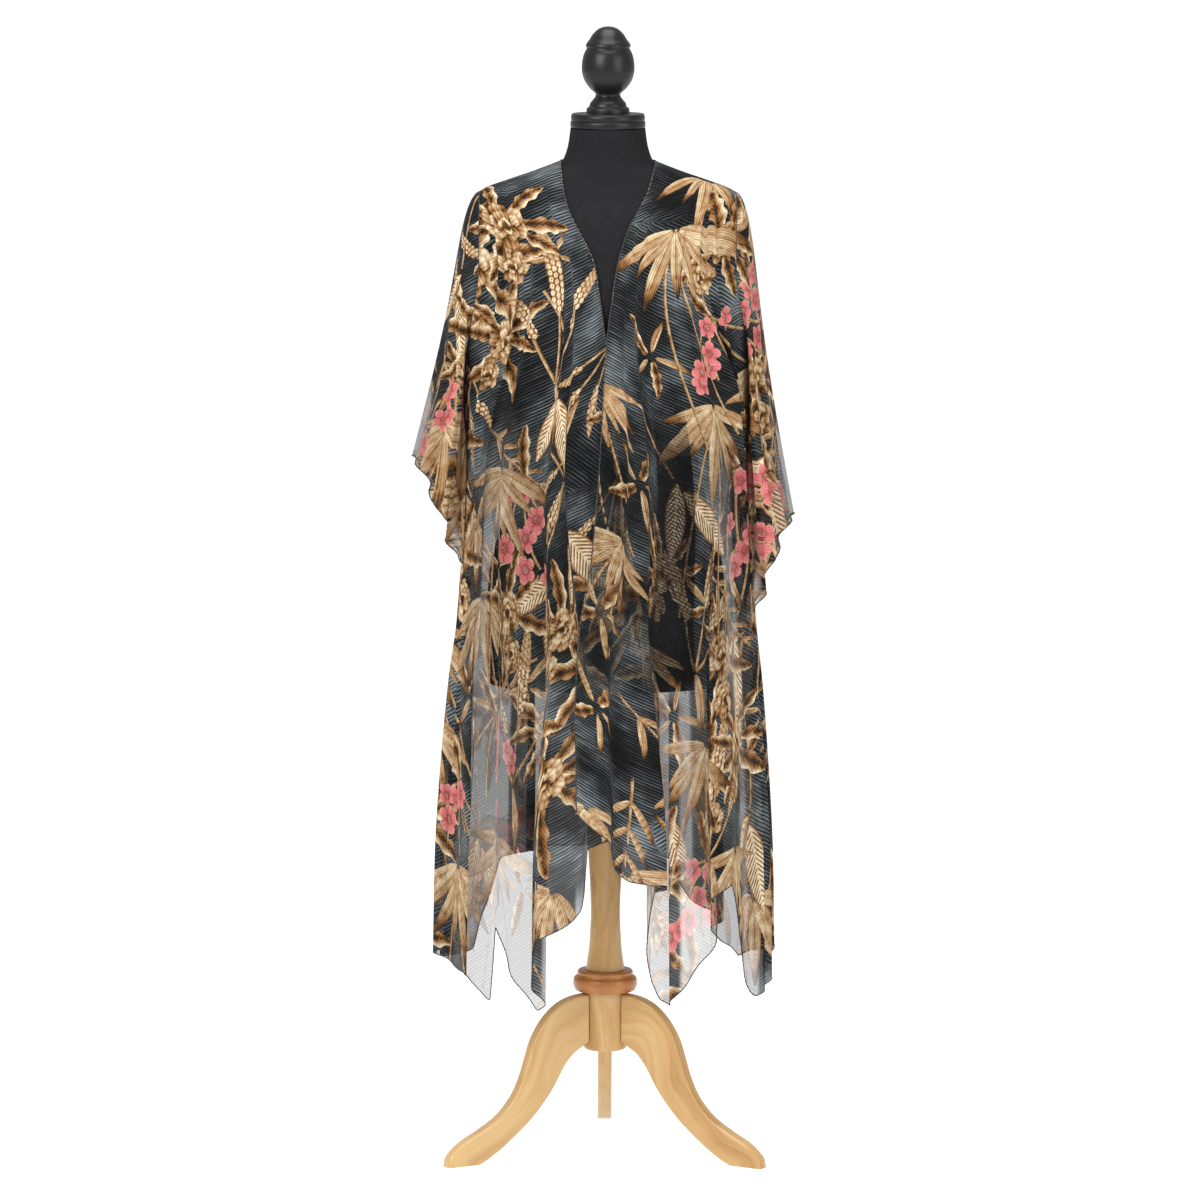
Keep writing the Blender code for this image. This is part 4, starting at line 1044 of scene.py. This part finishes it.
CREASES_LEFT_FRONT = [
    (0.780, 0.08, 0.018, 0.0085, 1.350, 0.950), (0.640, 0.10, 0.016, 0.0055, 1.360, 1.000),
    (0.500, 0.08, 0.018, 0.0030, 1.370, 0.980), (0.360, -0.04, 0.018, 0.0026, 1.260, 0.760),
    (0.220, 0.03, 0.016, 0.0026, 1.200, 0.640), (0.080, 0.04, 0.012, 0.0022, 1.180, 0.600),
    (0.250, 0.03, 0.010, 0.0036, 0.860, 0.300), (0.370, 0.02, 0.010, 0.0036, 0.820, 0.300),
    (0.480, -0.02, 0.010, 0.0038, 0.900, 0.280), (0.660, 0.03, 0.011, 0.0042, 0.920, 0.300),
    (0.830, -0.02, 0.010, 0.0038, 0.880, 0.300), (0.950, 0.01, 0.010, 0.0032, 0.940, 0.320),
]
SHEER_AND_SHADE_LEFT_FRONT = [
    (0.000, 0.800, 1.080, 0.960, 0.56), (0.000, 0.800, 0.700, 0.666, 0.94),
    # painted shade: this zone is made nearly clear (0.09) so the black form shows dark through it, standing
    # in for the shade in a deep valley of the folds
    (0.215, 0.400, 1.120, 0.980, 0.09), (0.172, 0.420, 0.700, 0.655, 0.46),
    (0.420, 0.536, 0.740, 0.640, 0.48), (0.292, 0.330, 0.700, 0.650, 0.95),
    (0.640, 0.700, 0.900, 0.740, 0.60), (0.838, 0.862, 0.560, 0.430, 0.50),
]
PLANTS_LEFT_FRONT = [
    ("cane", 0.080, 0.080, 75, 0.150), ("cane", 0.125, 0.330, 95, 0.150),
    ("posy", 0.155, 0.200, 60, 0.130), ("leaf_pair", 0.025, 0.430, 60, 0.140),
    ("sprig", 0.095, 0.560, 35, 0.130), ("rose_bunch", 0.165, 0.100, 100, 0.110),
    ("seed_heads", 0.040, 0.700, -70, 0.170), ("posy", 0.190, 0.420, 80, 0.140),
    ("whorl", 0.035, 0.260, 10, 0.100), ("whorl", 0.170, 0.560, 40, 0.120),
    ("rose_bunch", 0.150, 0.680, 60, 0.125), ("cane", 0.050, 0.800, 100, 0.150),
    ("leaf_pair", 0.220, 0.640, 95, 0.140), ("rose_bunch", 0.230, 0.800, 80, 0.120),
    ("seed_heads", 0.130, 0.960, -80, 0.180), ("whorl", 0.300, 0.760, 30, 0.120),
    ("posy", 0.040, 0.960, 100, 0.140), ("cane", 0.210, 0.950, 85, 0.160),
    ("leaf_pair", 0.300, 0.900, 80, 0.140), ("rose_bunch", 0.130, 0.850, 60, 0.110),
    ("cane", 0.330, 1.020, 90, 0.150), ("whorl", 0.120, 1.080, 20, 0.120),
    ("leaf_pair", 0.230, 1.080, 70, 0.130), ("whorl", 0.080, 0.610, 80, 0.110),
    ("rose_bunch", -0.010, 0.560, 90, 0.100), ("whorl", -0.010, 0.760, 0, 0.110),
]
grid, place = front_grid(
    1.0, 2, HEM_LEFT_FRONT, FOLDS_LEFT_FRONT, CREASES_LEFT_FRONT, True, FRONT_COLUMNS, FRONT_ROWS)
grid, place = grid[:, ::-1], place[::-1]
across, down = flat_cut(grid, np.argmin(np.abs(place - 0.5)))
across = 0.09 - across
density = density_of(np.broadcast_to(place, across.shape), grid[:, :, 2], SHEER_AND_SHADE_LEFT_FRONT)
layers = printed(across, down, fill_in(across, down, PLANTS_LEFT_FRONT, 6), 23)
front_left = cloth_piece("coat_front_left", "front_left", grid, across, down, density, layers, -1.0)
left_edges = {"side": grid[:, 0], "shoulder": grid[0]}
free_edges = [grid[:, -1], grid[-1]]
edging = [roll("hem_front_left", free_edges, HEM_RADIUS, rolled),
          whipped("stitches_front_left", free_edges, 2)]

# The back: one width of voile, slightly scooped at the neck and gathered by its own
# weight into soft flutes below the shoulder blades.
HEM_BACK = [
    (-0.2285, 0.300), (-0.205, 0.262), (-0.188, 0.268), (-0.168, 0.330), (-0.150, 0.396), (-0.078, 0.406),
    (0.000, 0.410), (0.060, 0.404), (0.098, 0.369), (0.140, 0.300), (0.165, 0.276), (0.190, 0.258),
    (0.212, 0.280), (0.2285, 0.340),
]
# columns: place (-1 right side seam, 1 left side seam), then as for the fronts
FOLDS_BACK = [
    (-0.870, 0.034, 0.016, 0.012, 1.000, 0.420), (-0.700, 0.030, 0.018, -0.026, 1.220, 0.480),
    (-0.520, 0.036, 0.014, 0.008, 1.140, 0.420), (-0.350, 0.028, 0.018, 0.034, 1.190, 0.450),
    (-0.160, 0.036, 0.013, -0.008, 1.060, 0.420), (0.020, 0.028, 0.016, -0.028, 1.230, 0.460),
    (0.190, 0.036, 0.013, 0.010, 1.080, 0.420), (0.370, 0.028, 0.018, 0.030, 1.240, 0.460),
    (0.540, 0.036, 0.014, -0.010, 1.110, 0.420), (0.710, 0.030, 0.018, 0.026, 1.200, 0.470),
    (0.870, 0.034, 0.015, -0.012, 0.990, 0.420),
]
CREASES_BACK = [
    (-0.850, 0.10, 0.020, 0.0046, 1.340, 0.950), (-0.640, 0.06, 0.022, 0.0036, 1.350, 0.980),
    (-0.420, 0.05, 0.020, 0.0032, 1.340, 0.800), (-0.230, 0.02, 0.018, 0.0028, 1.300, 0.700),
    (-0.060, -0.03, 0.018, 0.0028, 1.280, 0.640), (0.120, 0.02, 0.018, 0.0028, 1.300, 0.700),
    (0.300, -0.03, 0.018, 0.0032, 1.330, 0.720), (0.470, -0.04, 0.020, 0.0034, 1.340, 0.820),
    (0.650, -0.05, 0.022, 0.0036, 1.350, 0.960), (0.850, -0.10, 0.020, 0.0046, 1.340, 0.950),
    (-0.780, 0.02, 0.012, 0.0042, 0.920, 0.300), (-0.440, -0.02, 0.012, 0.0042, 0.900, 0.380),
    (-0.080, 0.02, 0.012, 0.0040, 0.880, 0.400), (0.280, 0.01, 0.012, 0.0042, 0.900, 0.360),
    (0.620, -0.02, 0.012, 0.0042, 0.920, 0.300), (0.950, -0.01, 0.012, 0.0036, 0.940, 0.330),
]
SHEER_BACK = [
    (-0.640, -0.395, 1.000, 0.840, 0.62), (-0.310, -0.050, 0.980, 0.820, 0.62),
    (0.065, 0.325, 1.000, 0.840, 0.62), (0.415, 0.660, 0.990, 0.830, 0.62),
    (0.760, 0.840, 0.900, 0.760, 0.60), (-0.840, -0.760, 0.900, 0.760, 0.60),
]
PLANTS_BACK = [
    ("cane", -0.090, 0.100, 60, 0.150), ("rose_bunch", 0.085, 0.120, 110, 0.120),
    ("leaf_pair", 0.000, 0.230, 80, 0.140), ("posy", -0.150, 0.220, 80, 0.140),
    ("seed_heads", 0.100, 0.380, -100, 0.180), ("sprig", -0.040, 0.340, 150, 0.130),
    ("whorl", 0.170, 0.250, 40, 0.110), ("rose_bunch", -0.120, 0.400, 70, 0.120),
    ("cane", 0.040, 0.500, 95, 0.150), ("posy", 0.180, 0.450, 100, 0.140),
    ("leaf_pair", -0.040, 0.520, 110, 0.140), ("whorl", -0.200, 0.480, 10, 0.120),
    ("rose_bunch", 0.160, 0.610, 50, 0.120), ("cane", -0.170, 0.640, 80, 0.150),
    ("sprig", 0.020, 0.690, 20, 0.130), ("seed_heads", -0.080, 0.800, -80, 0.180),
    ("posy", 0.100, 0.760, 80, 0.140), ("leaf_pair", 0.250, 0.700, 90, 0.140),
    ("rose_bunch", -0.240, 0.800, 60, 0.120), ("whorl", 0.000, 0.840, 30, 0.120),
    ("cane", 0.190, 0.880, 100, 0.160), ("posy", -0.160, 0.930, 90, 0.140),
    ("leaf_pair", -0.330, 0.700, 95, 0.140), ("rose_bunch", 0.330, 0.840, 60, 0.120),
    ("cane", -0.300, 0.950, 85, 0.160), ("whorl", 0.090, 0.940, 30, 0.110),
    ("whorl", -0.420, 0.850, 30, 0.120), ("seed_heads", 0.300, 1.050, -90, 0.170),
    ("cane", 0.420, 0.960, 90, 0.150), ("leaf_pair", -0.420, 1.000, 80, 0.130),
    ("whorl", -0.020, 0.980, 60, 0.110), ("leaf_pair", 0.180, 1.060, 80, 0.130),
]
BACK_COLUMNS, BACK_ROWS = 321, 310
grid, place = back_grid(HEM_BACK, FOLDS_BACK, CREASES_BACK, BACK_COLUMNS, BACK_ROWS)
across, down = flat_cut(grid, np.argmin(np.abs(place)))
density = density_of(np.broadcast_to(place, across.shape), grid[:, :, 2], SHEER_BACK)
layers = printed(across, down, fill_in(across, down, PLANTS_BACK, 7), 37)
back = cloth_piece("coat_back", "back", grid, across, down, density, layers, 0.0)
neck = np.abs(grid[0, :, 0] - AXIS[0]) <= NECK_HALF_WIDTH + 0.001
free_edges = [grid[-1], grid[0][neck]]
edging = [roll("hem_back", free_edges, HEM_RADIUS, rolled), whipped("stitches_back", free_edges, 3)]

# The sleeves: wide squares of voile set straight into the armholes and closed under
# the arm; each hangs in a loose loop with a low back corner at the cuff.
# columns: x and height of the cuff's upper corner, x and height of its lower one, half depth
CUFFS = {
    "sleeve_right": (-0.2720, 0.986, -0.2150, 0.838, 0.060),
    "sleeve_left": (0.2620, 0.906, 0.2160, 0.768, 0.062),
}
SLEEVE_BULGE, CUFF_RIPPLE, CUFF_RIPPLES, CUFF_FRONT_RECESS = 0.055, 0.0060, 4, 0.020
# columns: how far up the loop, facing (-1 front, 1 back), half width, depth
SLEEVE_CREASES = [
    (0.30, -1, 0.030, 0.0040), (0.46, -1, 0.026, 0.0050),
    (0.62, -1, 0.030, 0.0046), (0.80, -1, 0.026, 0.0040),
    (0.28, 1, 0.030, 0.0040), (0.44, 1, 0.028, 0.0048),
    (0.60, 1, 0.030, 0.0044), (0.78, 1, 0.026, 0.0040),
]
LOW_CORNER_INSET, UNDER_WRAP, UNDER_REACH = 0.0085, 0.030, 0.12
# columns: plant, across, down, direction in degrees, size
PLANTS_SLEEVE = {
    "sleeve_right": [
        ("leaf_pair", -0.225, 0.150, 95, 0.130), ("posy", -0.215, 0.300, 80, 0.120),
        ("cane", -0.235, 0.360, 95, 0.130), ("rose_bunch", -0.240, 0.470, 60, 0.110),
        ("whorl", -0.215, 0.540, 20, 0.110), ("sprig", -0.260, 0.250, 70, 0.120),
        ("cane", -0.440, 0.130, 90, 0.140), ("rose_bunch", -0.410, 0.280, 60, 0.110),
        ("posy", -0.430, 0.380, 80, 0.120), ("leaf_pair", -0.410, 0.440, 80, 0.120),
        ("whorl", -0.450, 0.500, 20, 0.110),
    ],
    "sleeve_left": [
        ("posy", 0.220, 0.140, 75, 0.120), ("rose_bunch", 0.225, 0.300, 60, 0.110),
        ("leaf_pair", 0.225, 0.400, 80, 0.130), ("posy", 0.250, 0.430, 95, 0.120),
        ("cane", 0.230, 0.500, 80, 0.130), ("whorl", 0.215, 0.590, 20, 0.110),
        ("rose_bunch", 0.440, 0.140, 60, 0.110), ("cane", 0.410, 0.280, 90, 0.140),
        ("leaf_pair", 0.440, 0.400, 80, 0.120), ("posy", 0.410, 0.480, 80, 0.120),
        ("whorl", 0.430, 0.580, 20, 0.110),
    ],
}
HALF_LOOP, SLEEVE_ROWS = 133, 230
armhole_rings = []
seam_top = float(shoulder_height(ARMHOLE_X))
for number, (name, (top_x, top_z, low_x, low_z, half_depth)) in enumerate(CUFFS.items()):
    side = math.copysign(1.0, top_x)
    half_way = np.linspace(0.0, 1.0, HALF_LOOP)
    up = np.concatenate([half_way, half_way[::-1]])
    facing = np.repeat([-1.0, 1.0], HALF_LOOP)
    z = UNDERARM_Z + (seam_top - UNDERARM_Z) * (1.0 - (1.0 - up) ** 1.8)
    bearing = armhole_bearing(z)
    front_xy = outline_point(bearing, z, 0.0, 2, -1.0)
    back_xy = outline_point(bearing, z, 0.0, 3, 1.0)
    x = np.where(facing < 0, front_xy[0], back_xy[0])
    ring = np.column_stack([x, np.where(facing < 0, front_xy[1], back_xy[1]), z])
    rise = (1.0 - np.cos(math.pi * up)) / 2.0
    ripple = CUFF_RIPPLE * np.sin(2 * math.pi * CUFF_RIPPLES * up + (facing > 0)) * np.sin(math.pi * up)
    recess = np.where(facing < 0, CUFF_FRONT_RECESS * np.sin(math.pi * up), 0.0)
    low_reach = abs(low_x) - LOW_CORNER_INSET
    loop = np.column_stack([
        low_reach + (abs(top_x) - low_reach) * rise + ripple - recess * rise,
        facing * (half_depth * np.sin(math.pi * up) ** 0.8 + ripple),
        low_z + (top_z - low_z) * rise,
    ])
    height_share = (z - UNDERARM_Z) / (seam_top - UNDERARM_Z)
    rows = []
    for row in range(SLEEVE_ROWS):
        w = (row / (SLEEVE_ROWS - 1)) ** 1.12
        points = ring + (loop - ring) * w
        points[:, 0] += SLEEVE_BULGE * math.sqrt(w) * (1.0 - w) ** 4 * height_share
        under = np.exp(-((up / UNDER_REACH) ** 2)) * smooth_step(0.0, 0.10, w)
        points[:, 1] -= UNDER_WRAP * under
        wide = table_value(COAT_SECTIONS, 1, points[:, 2])
        deep = table_value(COAT_SECTIONS, 2, points[:, 2])
        inward = np.minimum(np.abs(points[:, 1]) / deep, 0.9) ** ROUNDNESS
        beside = wide * (1.0 - inward) ** (1.0 / ROUNDNESS) + 0.001
        points[:, 0] += (beside - points[:, 0]) * under
        for middle, crease_facing, half_width, depth in SLEEVE_CREASES:
            line = np.exp(-(((up - middle - 0.03 * math.sin(5 * w + middle * 9)) / half_width) ** 2))
            grown = smooth_step(0.0, 0.35, w) * (facing == crease_facing) * np.sin(math.pi * up) ** 0.5
            points[:, 1] += crease_facing * depth * line * grown
            points[:, 0] += 0.4 * depth * line * grown
        rows.append(points * (side, 1.0, 1.0) + (AXIS[0], AXIS[1], 0.0))
    grid = np.array(rows)
    if side > 0:
        grid = grid[:, ::-1]
    turned_facing = facing if side < 0 else facing[::-1]
    reach = np.abs(grid[:, :, 0] - AXIS[0]) + 0.010
    ridge = reach[:, HALF_LOOP - 1:HALF_LOOP]
    aside = np.abs(grid[:, :, 1] - AXIS[1]) - half_depth
    across = side * np.where(turned_facing < 0, reach - aside, 2 * (ridge + half_depth) - reach + aside)
    down = 1.40 - grid[:, :, 2]
    share = np.broadcast_to(up if side < 0 else up[::-1], across.shape)
    fall = np.broadcast_to(np.linspace(0, 1, SLEEVE_ROWS)[:, None], across.shape)
    density = 0.90 - 0.46 * smooth_step(0.80, 0.90, fall + 0.10 * share) * smooth_step(0.72, 0.80, share)
    density = density - 0.40 * smooth_step(0.86, 0.93, fall) * smooth_step(0.30, 0.22, share)
    body_plants, seed = (PLANTS_RIGHT_FRONT, 11) if side < 0 else (PLANTS_LEFT_FRONT, 23)
    layers = printed(across, down, fill_in(across, down, body_plants + PLANTS_SLEEVE[name], 8), seed)
    piece = cloth_piece("coat_" + name, name, grid, across, down, density, layers, -side, HALF_LOOP - 1)
    armhole_rings.append(grid[0])
    cuff = [grid[-1]]
    edging = [roll("hem_" + name, cuff, HEM_RADIUS, rolled), whipped("stitches_" + name, cuff, 4 + number)]


# The seams: the shoulders, the armholes and the sides are run together as narrow
# felled seams, seen from outside as a fine raised line of dark voile.
def below_arm(edge):
    return edge[edge[:, 2] < UNDERARM_Z]


roll("seam_shoulders", [right_edges["shoulder"], left_edges["shoulder"]], SEAM_RADIUS, rolled, 5, 0.009)
roll("seam_armholes", armhole_rings, SEAM_RADIUS, rolled, 5, 0.009)
roll("seam_sides", [below_arm(right_edges["side"]), below_arm(left_edges["side"])],
     SEAM_RADIUS, rolled, 5, 0.012)

# Camera, floor and light: a long lens from above the finial, turned slightly down, a
# pale floor that runs off into white, and large soft lamps.
CAMERA_AWAY, CAMERA_HEIGHT, AIM_HEIGHT = 9.5, 2.05, 0.783
PIXELS_PER_METRE, FRAME_PIXELS, PIXELS_LEFT = 714.0, 1200, 9.2
camera_data = bpy.data.cameras.new("camera")
camera_data.sensor_width = 36.0
away = math.hypot(CAMERA_AWAY, CAMERA_HEIGHT - AIM_HEIGHT)
camera_data.lens = PIXELS_PER_METRE * away / FRAME_PIXELS * camera_data.sensor_width
camera = bpy.data.objects.new("camera", camera_data)
bpy.context.scene.collection.objects.link(camera)
camera.location = (AXIS[0] - PIXELS_LEFT / PIXELS_PER_METRE, AXIS[1] - CAMERA_AWAY, CAMERA_HEIGHT)
camera.rotation_euler = (math.pi / 2 - math.atan2(CAMERA_HEIGHT - AIM_HEIGHT, CAMERA_AWAY), -0.0031, 0.0)
bpy.context.scene.camera = camera

white, shader, paint = new_finish(
    "white_floor", 0.9, Emission_Color=(1.0, 1.0, 1.0, 1.0), Emission_Strength=0.82)
place = paint.node("ShaderNodeTexCoord", None, None, 3)
link(shader, "Base Color",
     paint.noise(place, 3.0, 2.0).ramp([(0.3, (0.44, 0.44, 0.44)), (0.7, (0.46, 0.46, 0.46))]))
mesh = bpy.data.meshes.new("floor")
mesh.from_pydata(
    [(-9, -11, -0.0005), (9, -11, -0.0005), (9, 9, -0.0005), (-9, 9, -0.0005)], [], [(0, 1, 2, 3)])
mesh.materials.append(white)
floor = bpy.data.objects.new("floor", mesh)
bpy.context.scene.collection.objects.link(floor)

world = bpy.data.worlds.new("studio")
world.use_nodes = True
sky = Strand(world.node_tree)
seen = sky.node("ShaderNodeLightPath", None, None, "Is Camera Ray")
backdrop = world.node_tree.nodes["Background"]
backdrop.inputs["Color"].default_value = (1.0, 1.0, 1.0, 1.0)
world.node_tree.links.new((seen * 0.60 + 0.50).socket, backdrop.inputs["Strength"])
bpy.context.scene.world = world
bpy.context.scene.view_settings.view_transform = "Standard"
# columns: name, place, size, power
LAMPS = [
    ("key", (-2.6, -3.4, 3.2), 2.4, 150.0), ("fill", (3.0, -3.0, 2.2), 2.6, 70.0),
    ("top", (0.0, -0.4, 4.2), 2.5, 105.0),
]
for name, place, size, watts in LAMPS:
    lamp = bpy.data.lights.new(name, "AREA")
    lamp.size = size
    lamp.energy = watts
    holder = bpy.data.objects.new(name, lamp)
    bpy.context.scene.collection.objects.link(holder)
    holder.location = place
    holder.rotation_euler = (Vector((0.0, 0.0, 0.9)) - Vector(place)).to_track_quat("-Z", "Y").to_euler()
